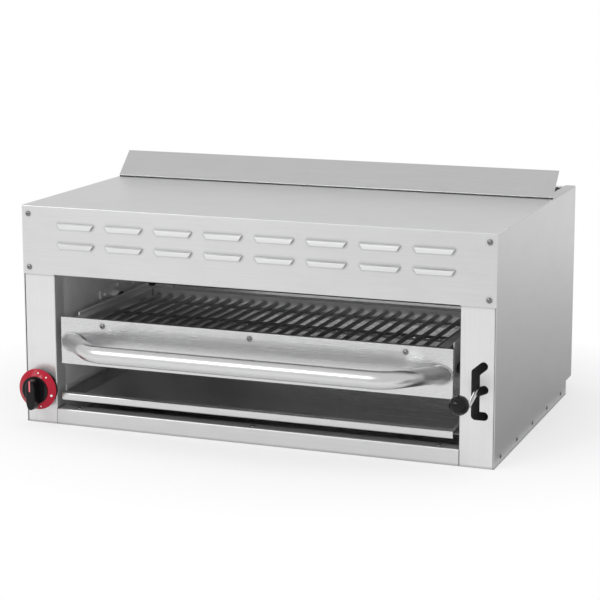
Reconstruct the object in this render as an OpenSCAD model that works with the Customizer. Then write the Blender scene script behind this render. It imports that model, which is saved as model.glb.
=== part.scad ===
// Gas cheese melter: an infrared broiler under a louvred front, with a lifting pull-out rack.
// Millimetres. X runs to the right, Y to the back and Z up.
// The origin is the middle of the underside. Depths called _y are measured back from the front face.

/* [Body] */
// Overall width of the body
body_w = 914; // [880:1:1000]
// Overall depth of the body
body_d = 600; // [580:1:680]
// Height of the top sheet
body_h = 416; // [405:1:450]
// Thickness of the outer sheet
sheet_t = 1.5; // [1.2:0.1:2]
// Thickness of the inner sheet
liner_t = 1.2; // [1:0.1:1.5]
// Middle-line radius of a fold
fold_r = 2; // [1.6:0.1:3]
// Height of the recess along the bottom rear edge
notch_h = 28; // [24:1:36]
// Depth of the recess along the bottom rear edge
notch_d = 46; // [24:1:60]
// Height of the base pan's turned-up edges
pan_edge_h = 24; // [20:1:27]

/* [Front] */
// Width of each front post
post_w = 64; // [60:1:80]
// Depth of the posts' inner return
post_return = 35; // [20:1:36]
// Depth of the posts' outer return
post_lap = 20; // [12:1:26]
// Height of the front valance
valance_h = 130; // [120:1:140]
// Depth of the valance's strip on top of the body
valance_top = 68; // [50:1:68]
// Depth of the valance's lower lip
valance_lip = 12; // [8:1:20]
// Height of the bottom rail
rail_h = 30; // [29:1:36]
// Depth of the bottom rail's top flange
rail_d = 30; // [24:1:40]

/* [Louvres] */
// Louvres in each row
louvre_count = 8; // [2:1:8]
// Pitch of the louvres
louvre_pitch = 98.8; // [90:0.1:100]
// Width of a louvre at the sheet
louvre_w = 76; // [60:1:84]
// Height of a louvre
louvre_h = 10; // [8:1:14]
// How far a louvre stands out
louvre_out = 5.5; // [4:0.1:7]
// Slant of a louvre's ends
louvre_slant = 7; // [4:0.5:10]
// Radius of a louvre's lower corners
louvre_r = 3; // [2:0.5:3.5]
// Top of the upper row below the top sheet
louvre_row_1 = 31; // [24:1:36]
// Top of the lower row below the top sheet
louvre_row_2 = 68; // [60:1:80]

/* [Flue] */
// Front of the flue opening behind the front face
flue_y = 419; // [400:1:440]
// Height of the deflector above the top sheet
deflector_h = 48; // [30:1:60]
// How far the deflector leans back
deflector_lean = 51; // [10:1:56]
// Width of the deflector's foot
deflector_foot = 12; // [10:1:20]
// Width of the flange round the flue
flue_flange = 20; // [15:1:24]
// Cavity depth behind the front face
cavity_y = 530; // [480:1:550]

/* [Rack] */
// Room for the carriage and the arms between the rack and each wall of the cavity
rack_side = 28; // [27:1:42]
// Rear of the rack behind the front face
rack_y = 346; // [320:1:370]
// Height of the rack's rim above the counter
rack_z = 204; // [200:1:210]
// Width of the rack's rim
rim_w = 20; // [14:1:26]
// Depth of the rim's inner wall
rim_drop = 22; // [20:1:26]
// Diameter of a grate rod
rod_d = 8; // [6:0.5:10]
// Pitch of the grate rods
rod_pitch = 25.4; // [20:0.1:30]
// Width of a cross bar under the rods
cross_bar_w = 25; // [16:1:30]
// Gap between the rack's front panel and each post
panel_gap = 12; // [8:1:16]
// Height of the rack's front panel
panel_h = 89; // [84:1:94]
// Gap between the rack and the carriage rails
rack_gap = 1.75; // [1:0.05:2.5]

/* [Handle] */
// Diameter of the handle tube
handle_d = 32; // [25:1:34]
// Distance of the handle bar in front of the panel
handle_out = 76; // [60:1:90]
// Distance of each handle end's middle from the end of the rack's panel
handle_inset = 24; // [23:1:50]
// Height of the handle above the counter
handle_z = 161; // [150:1:168]
// Bend radius of the handle tube
handle_r = 60; // [45:1:80]

/* [Lift] */
// Depth of the lift pivot behind the front face
pivot_y = 242; // [236:1:250]
// Height of the lift pivot
pivot_z = 204; // [200:1:208]
// Length of a lift arm between its pins
arm_l = 180; // [160:1:190]
// Distance between the front and rear lift pivots
arm_span = 150; // [148:1:170]
// Width of a lift arm
arm_w = 14; // [12:0.5:14.5]
// Thickness of a lift arm
arm_t = 5; // [4:0.5:6]
// Thickness of a carriage rail
carriage_t = 3; // [2:0.5:4]
// Diameter of a pivot pin
pivot_d = 10; // [8:0.5:12]
// Diameter of a carriage pin
pin_d = 8; // [6:0.5:10]
// Clearance all round between a pin and its bore
pin_gap = 0.05; // [0.03:0.01:0.1]
// Side gap between an arm and its neighbours
side_gap = 0.3; // [0.2:0.05:0.5]

/* [Lever] */
// Distance of the slot's track from the post's inner edge
slot_x = 28.75; // [26:0.25:32]
// Width of the lever slot
slot_w = 15.5; // [14:0.5:17]
// Reach of a notch from the middle of the track
notch_reach = 15.5; // [14:0.5:17]
// Height of the lower notch
notch_low_z = 93.5; // [90:0.5:96]
// Height of the middle notch's tip
notch_mid_z = 139.5; // [136:0.5:142]
// Height of the upper notch's root
notch_top_z = 170; // [168:0.5:172]
// Diameter of the lever rod
lever_d = 8; // [6:0.5:8.5]
// Play beside the rod in its track
lever_gap = 0.3; // [0.2:0.05:0.6]
// Diameter of the ball knob
ball_d = 35; // [28:1:40]
// How far in front of the face the lever bends
lever_out = 53; // [45:1:70]

/* [Tray] */
// Height of the drip tray's floor
tray_z = 47.5; // [46:0.5:50]
// Depth of the drip tray
tray_rise = 14; // [10:1:18]
// Rear of the drip tray behind the front face
tray_y = 460; // [400:1:470]
// Gap between the drip tray and each side
tray_gap = 11; // [10.5:0.5:16]
// Slope of the tray's sides across its depth
tray_flare = 18; // [10:1:20]

/* [Burners] */
// Gap between a burner's box and the wall beside it
burner_gap = 8.8; // [6:0.2:20]
// Length of a ceramic tile
tile_l = 132; // [120:1:136]
// Thickness of a ceramic tile
tile_t = 13; // [12:0.5:14]
// Underside of the burners below the top sheet
burner_drop = 118; // [112:1:122]
// Height of a burner's plenum
plenum_h = 42; // [36:1:46]
// Front of the burners behind the front face
burner_y = 84; // [82:1:90]
// Outer diameter of a mixing tube
venturi_d = 38; // [32:1:40]

/* [Gas] */
// Height of the gas inlet and of the control knob
gas_z = 69; // [64:1:72]
// Distance of the gas line from the side panel's outer face
gas_x = 33; // [32:1:36]
// Outer diameter of the inlet pipe
inlet_d = 26.7; // [26.7, 33.4]
// Outer diameter of the manifold pipe
manifold_d = 21.3; // [17.2, 21.3]
// Length of inlet pipe behind the body
inlet_out = 35; // [25:1:60]
// Depth of the manifold behind the front face
manifold_y = 48; // [44:1:50]
// Diameter of the control knob's skirt
knob_d = 78; // [66:1:79]
// Depth of the control knob's skirt
skirt_h = 22; // [18:1:24]
// Depth of the control knob's grip
grip_h = 22; // [14:1:26]
// Width of the grip at its middle
grip_w = 20; // [16:1:24]
// How far the knob pushes in
knob_push = 4; // [3:0.5:5]
// Diameter of the valve stem
stem_d = 8; // [6:0.5:9]

/* [Mounts] */
// Spacing of the leg holes across the body
leg_x = 820; // [700:1:830]
// Spacing of the leg holes from front to back
leg_y = 460; // [400:1:470]
// Diameter of a leg hole
leg_hole = 10.5; // [8.5:0.1:13]
// Spacing of the wall holes across the body
wall_x = 700; // [500:1:760]
// Spacing of the wall holes up the back
wall_z = 200; // [150:1:240]
// Diameter of a wall hole
wall_hole = 9; // [6:0.5:13]

/* [Hidden] */
$fn = 48;

half_w = body_w / 2;
face = -body_d / 2;
back = body_d / 2;
// Front face of the posts, the rail, the rack panel and the tray lip, behind the valance's sheet
post_face = face + sheet_t;
// Inner face of the cavity's side walls
wall_x_in = half_w - post_w;
// Underside of the top sheet
under_top = body_h - sheet_t;
valance_z = body_h - valance_h;
// Top of the posts, clear of the valance's fold
post_top = under_top - fold_r;
// Where the posts end and the cavity's liners begin
post_back = post_face + max(post_return, sheet_t + post_lap);
steel = [0.8, 0.81, 0.82];
dark_steel = [0.45, 0.46, 0.47];
iron = [0.16, 0.16, 0.17];
brass = [0.78, 0.63, 0.35];
ceramic = [0.93, 0.88, 0.8];
red = [0.72, 0.07, 0.12];
black = [0.06, 0.06, 0.06];
// Sizes of small fasteners
screw_head_d = 10;
screw_head_h = 3;
screw_d = 4;
screw_l = 8;
screw_clear = 0.05;
side_screw_head_d = 8;
side_screw_first = 45;
side_screw_last = 47;
side_screw_count = 5;
side_screw_pitch = (body_d - notch_d - side_screw_first - side_screw_last) / (side_screw_count - 1);
side_screw_z = 12.5;
rail_screw_inset = 40;
rack_screw_inset = 98;
fit = 0.3;

// Rack: the rim is a folded channel, and its inner walls hold the grate
rack_half = wall_x_in - rack_side;
rack_front = post_face + sheet_t;
rack_back = face + rack_y;
rim_t = liner_t;
grate_half = rack_half - rim_w;
front_bar_t = 4;
rod_z = rack_z - rim_t - rod_d / 2 - 9;
cross_bar_t = 5.5;
cross_bar_z = rod_z - rod_d / 4 - cross_bar_t;
rod_count = floor((2 * grate_half - 2 * rod_d) / rod_pitch / 2) * 2 + 1;
rod_front = rack_front + front_bar_t;
rod_back = rack_back - rim_w;

// Carriage and lift: four equal arms carry the rails level
web_x = rack_half + rack_gap;
arm_x = web_x + carriage_t + side_gap;
leg_z = rack_z - rim_drop - fit;
carriage_front = face + 50;
carriage_back = rack_back + 8;
tie_w = 24;
tie_t = 4;
tie_front = 22;
tie_rear = 16;
// Angle of the arms and of the lever below the level at rest
lift_tilt = atan((pivot_z - notch_mid_z) / pivot_y);
pin_y = pivot_y - arm_l * cos(lift_tilt);
pin_z = pivot_z - arm_l * sin(lift_tilt);
bush_d = 20;
bush_x = arm_x + arm_t + side_gap;
bush_out = 6;
bracket_t = 3;
bracket_reach = 57;
bracket_half = 24;
bracket_low = 30;
bracket_top = 27;
collar_h = 4;
collar_w = 3;
pin_head_t = 1.5;
pin_head_w = 2;

// Lever: it swings sideways on a pin in the yoke
track_x = wall_x_in + slot_x;
lever_x = track_x + slot_w / 2 - lever_d / 2 - lever_gap;
slot_line_w = 0.1;
// Tip of the upper notch, from the top of the track
notch_top_tip = [notch_reach - 1.5, notch_reach - 3.5];
yoke_reach = 30;
yoke_w = 18;
yoke_pin_d = 6;
lever_eye_d = 16;
lever_eye_t = lever_d + 1;
yoke_gap = 0.3;
yoke_wall = 5;
bend_l = (pivot_y + lever_out) / cos(lift_tilt);
ball_side = 12;
ball_ahead = 16;
ball_up = 8;

// Burners: two plenums side by side
tiles_across = 4;
tiles_deep = 2;
tile_gap = 1;
tile_edge = 4;
plenum_w = wall_x_in - 2 * burner_gap;
plenum_in_w = plenum_w - 2 * liner_t;
tile_w = (plenum_in_w - (tiles_across + 1) * tile_gap) / tiles_across;
plenum_in_l = tiles_deep * tile_l + (tiles_deep + 1) * tile_gap;
plenum_l = plenum_in_l + 2 * liner_t;
frame_t = 2;
burner_rail_t = 2;
burner_z = body_h - burner_drop;
plenum_z = burner_z + burner_rail_t;
burner_front = face + burner_y;
burner_back = burner_front + plenum_l;
burner_lap = 12;
plenum_x = wall_x_in / 2;
venturi_z = plenum_z + plenum_h + 25;
baffle_z = body_h - 22;

// Gas line and control
line_x = -(half_w - gas_x);
valve_front = post_face + 14;
valve_l = 48;
valve_d = 34;
knob_front_gap = 2;
rim_step = 3;
rim_h = 6;
lip_h = 12;
hub_d = 0.68 * knob_d;
hub_h = 3.5;
grip_drop = 5;
stem_bore_l = 24;
collar_t = 4;
locknut_t = 7;
collar_gap = 0.05;

// Outline of a folded sheet: a middle line, its thickness and the radius of its folds
function unit(v) = v / norm(v);
function left_of(v) = [-v[1], v[0]];
function turned(v, a) = [v[0] * cos(a) - v[1] * sin(a), v[0] * sin(a) + v[1] * cos(a)];
function fold_arc(p0, p1, p2, off, r) =
  let (a = unit(p1 - p0), b = unit(p2 - p1), turn = atan2(cross(a, b), a * b), s = sign(turn))
  let (c = p1 - a * r * tan(abs(turn) / 2) + left_of(a) * s * r)
  [for (k = [0:4]) c + (off - s * r) * turned(left_of(a), turn * k / 4)];
function fold_side(p, off, r) = [
  p[0] + off * left_of(unit(p[1] - p[0])),
  for (i = [1:1:len(p) - 2]) each fold_arc(p[i - 1], p[i], p[i + 1], off, r),
  p[len(p) - 1] + off * left_of(unit(p[len(p) - 1] - p[len(p) - 2]))
];
function reversed(p) = [for (i = [len(p) - 1:-1:0]) p[i]];
function fold_outline(p, t, r) = concat(fold_side(p, t / 2, r), reversed(fold_side(p, -t / 2, r)));

module folded(line, t = sheet_t, r = fold_r) polygon(fold_outline(line, t, r));
// Extrudes an outline drawn in Y and Z along X
module along_x(x0, x1) translate([x0, 0, 0]) rotate([90, 0, 90]) linear_extrude(x1 - x0) children();
// Extrudes an outline drawn in X and Z along Y
module along_y(y0, y1) translate([0, y1, 0]) rotate([90, 0, 0]) linear_extrude(y1 - y0) children();
module block(lo, hi) translate(lo) cube(hi - lo);
module both_sides() {
  children();
  mirror([1, 0, 0]) children();
}
// Round bar from a point along -Y, +Y, X or Z
module rod_x(p, d, l) translate(p) rotate([0, 90, 0]) cylinder(d = d, h = l);
module rod_y(p, d, l) translate(p) rotate([-90, 0, 0]) cylinder(d = d, h = l);
// Domed screw whose head seats at the origin and whose shank runs along -Z
module screw(head_d, head_h, d, l) {
  rotate_extrude() {
    intersection() {
      translate([0, head_h - head_d * 0.8]) circle(r = head_d * 0.8);
      square([head_d / 2, head_h]);
    }
  }
  translate([0, 0, -l]) cylinder(d = d, h = l + 1);
}

/* ---- outer sheets ---- */

module leg_holes(d) {
  for (x = [-1, 1], y = [-1, 1]) {
    translate([x * leg_x / 2, y * leg_y / 2 - notch_d / 2, -1]) cylinder(d = d, h = sheet_t + 2);
  }
}

module base_pan() color(steel) {
  inner = half_w - sheet_t;
  difference() {
    union() {
      along_y(post_back, back - notch_d)
        folded([
          [-inner + sheet_t / 2, pan_edge_h], [-inner + sheet_t / 2, sheet_t / 2],
          [inner - sheet_t / 2, sheet_t / 2], [inner - sheet_t / 2, pan_edge_h]
        ]);
      block([-wall_x_in, post_face + sheet_t, 0], [wall_x_in, post_back, sheet_t]);
      block([-inner + 4, back - notch_d - sheet_t, 0], [inner - 4, back - notch_d, notch_h]);
    }
    leg_holes(leg_hole);
    side_screw_holes();
  }
}

module side_screw_places() {
  for (i = [0:side_screw_count - 1]) {
    translate([half_w, face + side_screw_first + i * side_screw_pitch, side_screw_z]) children();
  }
}

module side_screw_holes() {
  both_sides() side_screw_places() rod_x([-screw_l, 0, 0], screw_d + 2 * screw_clear, 2 * screw_l);
}

module side_panel() {
  difference() {
    union() {
      difference() {
        along_x(half_w - sheet_t, half_w) polygon([
          [post_face, 0], [back - notch_d, 0], [back - notch_d, notch_h], [back, notch_h],
          [back, body_h - 10], [face + flue_y, body_h - 10], [face + flue_y, under_top],
          [post_face + fold_r, under_top], [post_face, post_top]
        ]);
        rod_x([half_w - 2 * sheet_t, back - notch_d, notch_h], 4, 3 * sheet_t);
      }
      along_y(face + flue_y, back) folded([
        [half_w - sheet_t / 2, body_h - 10], [half_w - sheet_t / 2, body_h - sheet_t / 2],
        [half_w - flue_flange, body_h - sheet_t / 2]
      ]);
    }
    side_screw_holes();
  }
}

module left_side_panel() color(steel) mirror([1, 0, 0]) side_panel();
module right_side_panel() color(steel) side_panel();

module wall_holes() {
  for (x = [-1, 1], z = [-1, 1]) {
    rod_y([x * wall_x / 2, back - 2 * sheet_t, body_h / 2 + z * wall_z / 2], wall_hole, 3 * sheet_t);
  }
}

module rear_panel() color(steel) difference() {
  along_x(-half_w + sheet_t, half_w - sheet_t) folded([
    [back - notch_d - sheet_t, notch_h + sheet_t / 2], [back - sheet_t / 2, notch_h + sheet_t / 2],
    [back - sheet_t / 2, under_top - sheet_t / 2], [back - flue_flange, under_top - sheet_t / 2]
  ]);
  wall_holes();
  rod_y([line_x, back - 2 * sheet_t, gas_z], inlet_d + 2, 3 * sheet_t);
}

module top_panel() color(steel) {
  block([-half_w, face + valance_top, under_top], [half_w, face + flue_y, body_h]);
}

/* ---- front ---- */

// Side view of a louvre: a bend at the top, then a face that leans out to the open lip
function louvre_curve(out, h) =
  let (a0 = 20, bend_h = 0.35 * h, bend_out = 0.8 * out)
  concat(
    [for (k = [0:4]) let (a = a0 + (90 - a0) * k / 4)
      [-bend_out * (sin(a) - sin(a0)) / (1 - sin(a0)), -bend_h * (cos(a0) - cos(a)) / cos(a0)]],
    [[-out, -h]]
  );

// Rounded lower corner of a louvre's front view, h below its top line
function louvre_corner(w, h, slant) =
  let (t = atan2(slant, h), centre_x = w / 2 - louvre_r / cos(t) - tan(t) * (h - louvre_r))
  [for (k = [0:3]) let (a = -t - (90 - t) * k / 3)
    [centre_x + louvre_r * cos(a), -h + louvre_r + louvre_r * sin(a)]];

module louvre_form(out, h, w, slant, below) {
  corner = louvre_corner(w, h + below, slant);
  intersection() {
    along_x(-w / 2 - 1, w / 2 + 1) polygon(concat(
      [[sheet_t, 0]], louvre_curve(out, h), below > 0 ? [[-out, -h - below]] : [], [[sheet_t, -h - below]]
    ));
    along_y(-out - 1, sheet_t + 1) polygon(concat(
      [[-w / 2, 1], [w / 2, 1], [w / 2, 0]], corner,
      [for (k = [3:-1:0]) [-corner[k][0], corner[k][1]]], [[-w / 2, 0]]
    ));
  }
}

module louvre_places() {
  for (i = [0:louvre_count - 1], row = [louvre_row_1, louvre_row_2]) {
    translate([(i - (louvre_count - 1) / 2) * louvre_pitch, face, body_h - row]) children();
  }
}

module valance_screw_places() {
  for (x = [-1, 1], z = [valance_z + 13, body_h - 16]) {
    translate([x * (half_w - 13), face, z]) rotate([90, 0, 0]) children();
  }
}

module front_valance() color(steel) difference() {
  union() {
    along_x(-half_w, half_w) folded([
      [face + sheet_t / 2, valance_z + 10], [face + sheet_t / 2, body_h - sheet_t / 2],
      [face + valance_top, body_h - sheet_t / 2]
    ]);
    both_sides() block([wall_x_in - fit, face, valance_z], [half_w, post_face, valance_z + 10]);
    along_x(-wall_x_in + fit, wall_x_in - fit) folded([
      [face + sheet_t / 2, valance_z + 10], [face + sheet_t / 2, valance_z + sheet_t / 2],
      [face + valance_lip, valance_z + sheet_t / 2]
    ]);
    louvre_places() louvre_form(louvre_out, louvre_h, louvre_w, louvre_slant, 0);
  }
  louvre_places() translate([0, 0, -liner_t])
    louvre_form(louvre_out - liner_t, louvre_h - liner_t, louvre_w - 2 * liner_t, louvre_slant, 0.2);
  valance_screw_places() translate([0, 0, -screw_l]) cylinder(d = screw_d + 2 * screw_clear, h = 2 * screw_l);
}

module post_sheet() {
  linear_extrude(post_top) folded([
    [half_w - sheet_t * 1.5, post_face + sheet_t + post_lap], [half_w - sheet_t * 1.5, post_face + sheet_t / 2],
    [wall_x_in + sheet_t / 2, post_face + sheet_t / 2], [wall_x_in + sheet_t / 2, post_face + post_return]
  ]);
}

module post_screw_holes() {
  valance_screw_places() translate([0, 0, -screw_l - 2]) cylinder(d = screw_d + 2 * screw_clear, h = 2 * screw_l);
}

module left_post() color(steel) difference() {
  mirror([1, 0, 0]) post_sheet();
  post_screw_holes();
  rod_y([line_x, post_face - 1, gas_z], 16, 2 * sheet_t);
}

// Thin line from one point to another of the slot's middle line
module slot_line(p, q) {
  side = left_of(unit(q - p)) * slot_line_w / 2;
  polygon([p + side, p - side, q - side, q + side]);
}

// Track with a notch at each of three heights
module lever_slot() along_y(post_face - 1, post_face + 2 * sheet_t) offset(r = (slot_w - slot_line_w) / 2) {
  low = [track_x, notch_low_z];
  top = [track_x, notch_top_z];
  slot_line(low - [0, slot_line_w / 2], top);
  slot_line(low, low + [notch_reach, 0]);
  slot_line([track_x, notch_mid_z - 5], [track_x + notch_reach, notch_mid_z + 1]);
  slot_line(top - [slot_line_w, slot_line_w] / 4, top + notch_top_tip);
}

module right_post() color(steel) difference() {
  post_sheet();
  post_screw_holes();
  lever_slot();
}

module rail_screw_places() {
  for (x = [-1, 0, 1]) {
    translate([x * (wall_x_in - rail_screw_inset), face + rail_d / 2, rail_h]) children();
  }
}

module bottom_rail() color(steel) difference() {
  along_x(-wall_x_in, wall_x_in) folded([
    [post_face + sheet_t / 2, 0], [post_face + sheet_t / 2, rail_h - sheet_t / 2],
    [post_face + rail_d, rail_h - sheet_t / 2], [post_face + rail_d, rail_h - 14]
  ]);
  rail_screw_places() translate([0, 0, -screw_l]) cylinder(d = screw_d + 2 * screw_clear, h = 2 * screw_l);
}

module flue_deflector() color(steel) {
  foot = face + flue_y - deflector_foot;
  along_x(-half_w + 1, half_w - 1) folded([
    [face + flue_y, body_h + sheet_t / 2], [foot, body_h + sheet_t / 2],
    [foot + deflector_lean, body_h + deflector_h]
  ]);
}

/* ---- cavity ---- */

module side_liner() {
  block(
    [wall_x_in, post_face + post_return, sheet_t],
    [wall_x_in + liner_t, face + cavity_y + liner_t, under_top]
  );
}

module pivot_places() {
  for (y = [pivot_y, pivot_y + arm_span]) {
    translate([0, face + y, pivot_z]) children();
  }
}

module left_liner() color(dark_steel) difference() {
  mirror([1, 0, 0]) side_liner();
  pivot_places() rod_x([-wall_x_in - 2 * liner_t, 0, 0], bush_d, 4 * liner_t);
  rod_x([-wall_x_in - 2 * liner_t, face + manifold_y, venturi_z], manifold_d + 2, 4 * liner_t);
}

module right_liner() color(dark_steel) difference() {
  side_liner();
  pivot_places() rod_x([wall_x_in - liner_t, 0, 0], bush_d, 4 * liner_t);
}

module rear_liner() color(dark_steel) {
  block([-wall_x_in, face + cavity_y, sheet_t], [wall_x_in, face + cavity_y + liner_t, under_top]);
}

module ceiling_baffle() color(dark_steel) {
  along_x(-wall_x_in, wall_x_in) folded([
    [face + valance_top + 4, baffle_z], [face + flue_y - liner_t / 2, baffle_z],
    [face + flue_y - liner_t / 2, under_top]
  ], liner_t);
}

/* ---- burners ---- */

module burner_places() {
  for (s = [-1, 1]) translate([s * plenum_x, 0, 0]) children();
}

// Angle rails under the plenums' front and rear edges
module burner_rails() color(dark_steel) {
  front = burner_front - 10;
  rear = burner_back + 10;
  difference() {
    along_x(-wall_x_in, wall_x_in) folded([
      [burner_front + burner_lap, burner_z + burner_rail_t / 2], [front, burner_z + burner_rail_t / 2],
      [front, baffle_z - liner_t / 2]
    ], burner_rail_t);
    burner_places() rod_y([0, front - 5, venturi_z], venturi_d + 1, 10);
    rod_y([0, front - 5, plenum_z + 14], 7, 10);
  }
  along_x(-wall_x_in, wall_x_in) folded([
    [burner_back - burner_lap, burner_z + burner_rail_t / 2], [rear, burner_z + burner_rail_t / 2],
    [rear, plenum_z + plenum_h]
  ], burner_rail_t);
}

module burner_plenums() color(steel) burner_places() difference() {
  block([-plenum_w / 2, burner_front, plenum_z], [plenum_w / 2, burner_back, plenum_z + plenum_h]);
  translate([0, 0, -liner_t]) block(
    [-plenum_in_w / 2, burner_front + liner_t, plenum_z],
    [plenum_in_w / 2, burner_back - liner_t, plenum_z + plenum_h]
  );
  translate([0, (burner_front + burner_back) / 2, plenum_z + plenum_h - 5]) cylinder(d = venturi_d - 3, h = 10);
}

module tile_frames() color(dark_steel) burner_places() difference() {
  block(
    [-plenum_in_w / 2, burner_front + liner_t, plenum_z],
    [plenum_in_w / 2, burner_back - liner_t, plenum_z + frame_t]
  );
  for (i = [0:tiles_across - 1], j = [0:tiles_deep - 1]) {
    x = (i - (tiles_across - 1) / 2) * (tile_w + tile_gap);
    y = burner_front + liner_t + tile_gap + j * (tile_l + tile_gap);
    block([x - tile_w / 2 + tile_edge, y + tile_edge, plenum_z - 1],
      [x + tile_w / 2 - tile_edge, y + tile_l - tile_edge, plenum_z + frame_t + 1]);
  }
}

module ceramic_tiles() color(ceramic) burner_places() {
  for (i = [0:tiles_across - 1], j = [0:tiles_deep - 1]) {
    x = (i - (tiles_across - 1) / 2) * (tile_w + tile_gap);
    y = burner_front + liner_t + tile_gap + j * (tile_l + tile_gap);
    block([x - tile_w / 2, y, plenum_z + frame_t], [x + tile_w / 2, y + tile_l, plenum_z + frame_t + tile_t]);
  }
}

// Wire guards that hang under the tiles between the two rails
module burner_screens() color(iron) burner_places() {
  wire = 2.5;
  z = burner_z - wire / 2;
  for (i = [-5:5]) {
    rod_y([i * plenum_w / 11, burner_front - 4, z], wire, plenum_l + 8);
  }
  for (y = [burner_front + 60, burner_back - 60]) {
    rod_x([-plenum_w / 2 + 4, y, z - wire * 0.6], wire, plenum_w - 8);
  }
}

// Mixing tube with a bell mouth, running back and turning down into its plenum
module venturi_tubes() color(iron) burner_places() {
  middle = (burner_front + burner_back) / 2;
  bend = 22;
  drop = venturi_z - bend - plenum_z - plenum_h;
  wall = 2;
  front = burner_front - 14;
  difference() {
    union() {
      rod_y([0, front, venturi_z], venturi_d, middle - bend - front);
      translate([0, middle - bend, venturi_z - bend]) rotate([0, 90, 0]) rotate([0, 0, 90])
        rotate_extrude(angle = 90) translate([bend, 0]) circle(d = venturi_d);
      translate([0, middle, plenum_z + plenum_h]) cylinder(d = venturi_d, h = drop);
    }
    rod_y([0, front - 1, venturi_z], venturi_d - 2 * wall, middle - bend - front + 1);
    translate([0, middle - bend, venturi_z - bend]) rotate([0, 90, 0]) rotate([0, 0, 90])
      rotate_extrude(angle = 90) translate([bend, 0]) circle(d = venturi_d - 2 * wall);
    translate([0, middle, plenum_z + plenum_h - 1]) cylinder(d = venturi_d - 2 * wall, h = drop + 1);
  }
}

/* ---- gas line ---- */

module gas_inlet_pipe() color(iron) difference() {
  start = valve_front + valve_l;
  union() {
    rod_y([line_x, start, gas_z], inlet_d, back + inlet_out - start);
    // Locknut against the rear panel
    translate([line_x, back, gas_z]) rotate([-90, 0, 0]) cylinder(d = inlet_d * 1.6, h = locknut_t, $fn = 6);
  }
  rod_y([line_x, start - 1, gas_z], inlet_d - 6, back + inlet_out - start + 2);
}

module gas_valve() color(brass) difference() {
  union() {
    rod_y([line_x, valve_front + 12, gas_z], valve_d, valve_l - 12);
    rod_y([line_x, post_face + sheet_t, gas_z], 20, 30);
    translate([line_x, face + manifold_y, gas_z]) cylinder(d = manifold_d + 4, h = 30);
  }
  rod_y([line_x, post_face + sheet_t - 1, gas_z], stem_d + 2 * pin_gap, stem_bore_l + 1);
  rod_y([line_x, post_face + sheet_t - 1, gas_z], stem_d + 6, collar_t + knob_push + 2);
}

// Riser from the valve and the manifold behind the louvres, in one bent pipe
module gas_manifold() color(iron) {
  bend = 30;
  y = face + manifold_y;
  foot = gas_z + 30;
  end = plenum_x + 30;
  translate([line_x, y, foot]) cylinder(d = manifold_d, h = venturi_z - bend - foot);
  translate([line_x + bend, y, venturi_z - bend]) rotate([90, 0, 0]) rotate([0, 0, 90])
    rotate_extrude(angle = 90) translate([bend, 0]) circle(d = manifold_d);
  rod_x([line_x + bend, y, venturi_z], manifold_d, end - line_x - bend);
  rod_x([end, y, venturi_z], manifold_d + 6, 14);
}

module gas_jets() color(brass) burner_places() {
  seat = face + manifold_y + manifold_d / 2;
  difference() {
    union() {
      rod_y([0, seat - 3, venturi_z], 12, 9);
      rod_y([0, seat + 6, venturi_z], 8, 6);
    }
    rod_y([0, seat - 4, venturi_z], 2.4, 20);
    rod_x([-20, face + manifold_y, venturi_z], manifold_d, 40);
  }
}

module pilot_burner() color(brass) {
  y = face + manifold_y;
  z = plenum_z + 14;
  tube = 6;
  difference() {
    translate([0, y, z]) cylinder(d = tube, h = venturi_z - manifold_d / 2 + 2 - z);
    rod_x([-20, y, venturi_z], manifold_d, 40);
  }
  translate([0, y, z]) sphere(d = tube);
  rod_y([0, y, z], tube, burner_front + 10 - y);
  rod_y([0, burner_front + 10, z], 11, 16);
}

/* ---- lift bearings and runners ---- */

module pivot_bushes() color(iron) both_sides() pivot_places() difference() {
  union() {
    rod_x([bush_x, 0, 0], bush_d, wall_x_in + bush_out - bush_x);
    along_x(wall_x_in - bracket_t, wall_x_in) polygon([
      [-bracket_half, -bracket_low], [bracket_half, -bracket_low], [bracket_half, bracket_top],
      [0, bracket_top], [-bracket_reach, bracket_top - 10], [-bracket_reach, 2]
    ]);
    for (p = [[-42, 8], [14, 18], [14, -20]]) rod_x([wall_x_in - 8, p[0], p[1]], 9, 5);
  }
  rod_x([bush_x - 1, 0, 0], pivot_d + 2 * pin_gap, wall_x_in + bush_out + 2 - bush_x);
}

module tray_runners() color(dark_steel) both_sides() {
  top = tray_z - fit;
  along_y(post_face + rail_d + 6, face + cavity_y) folded([
    [wall_x_in - liner_t / 2, top + 22], [wall_x_in - liner_t / 2, top - liner_t / 2],
    [wall_x_in - 32, top - liner_t / 2]
  ], liner_t);
}

/* ---- fasteners ---- */

module valance_screws() color(steel) valance_screw_places() screw(screw_head_d, screw_head_h, screw_d, screw_l);

module side_screws() color(steel) both_sides() side_screw_places() rotate([0, 90, 0])
  screw(side_screw_head_d, 2, screw_d, 6);

module rail_screws() color(steel) rail_screw_places() screw(8, 2.4, screw_d, 6);

/* ---- lift linkage ---- */

// Frame at the front pivot, tilted so that -Y runs along the arm
module at_front_arm() translate([0, face + pivot_y, pivot_z]) rotate([lift_tilt, 0, 0]) children();
module at_rear_arm() translate([0, arm_span, 0]) at_front_arm() children();

// Flat arm with round ends, from its pivot to its carriage pin
module arm_bar() difference() {
  union() {
    block([arm_x, -arm_l, -arm_w / 2], [arm_x + arm_t, 0, arm_w / 2]);
    rod_x([arm_x, 0, 0], arm_w, arm_t);
    rod_x([arm_x, -arm_l, 0], arm_w, arm_t);
  }
  rod_x([arm_x - 1, -arm_l, 0], pin_d + 2 * pin_gap, arm_t + 2);
}

// Arm welded to a pivot pin that turns in the wall's bush
module arm_with_pin() {
  arm_bar();
  rod_x([arm_x + arm_t, 0, 0], pivot_d, wall_x_in + bush_out + side_gap - arm_x - arm_t);
  rod_x([wall_x_in + bush_out + side_gap, 0, 0], pivot_d + 2 * collar_w, collar_h);
}

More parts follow.
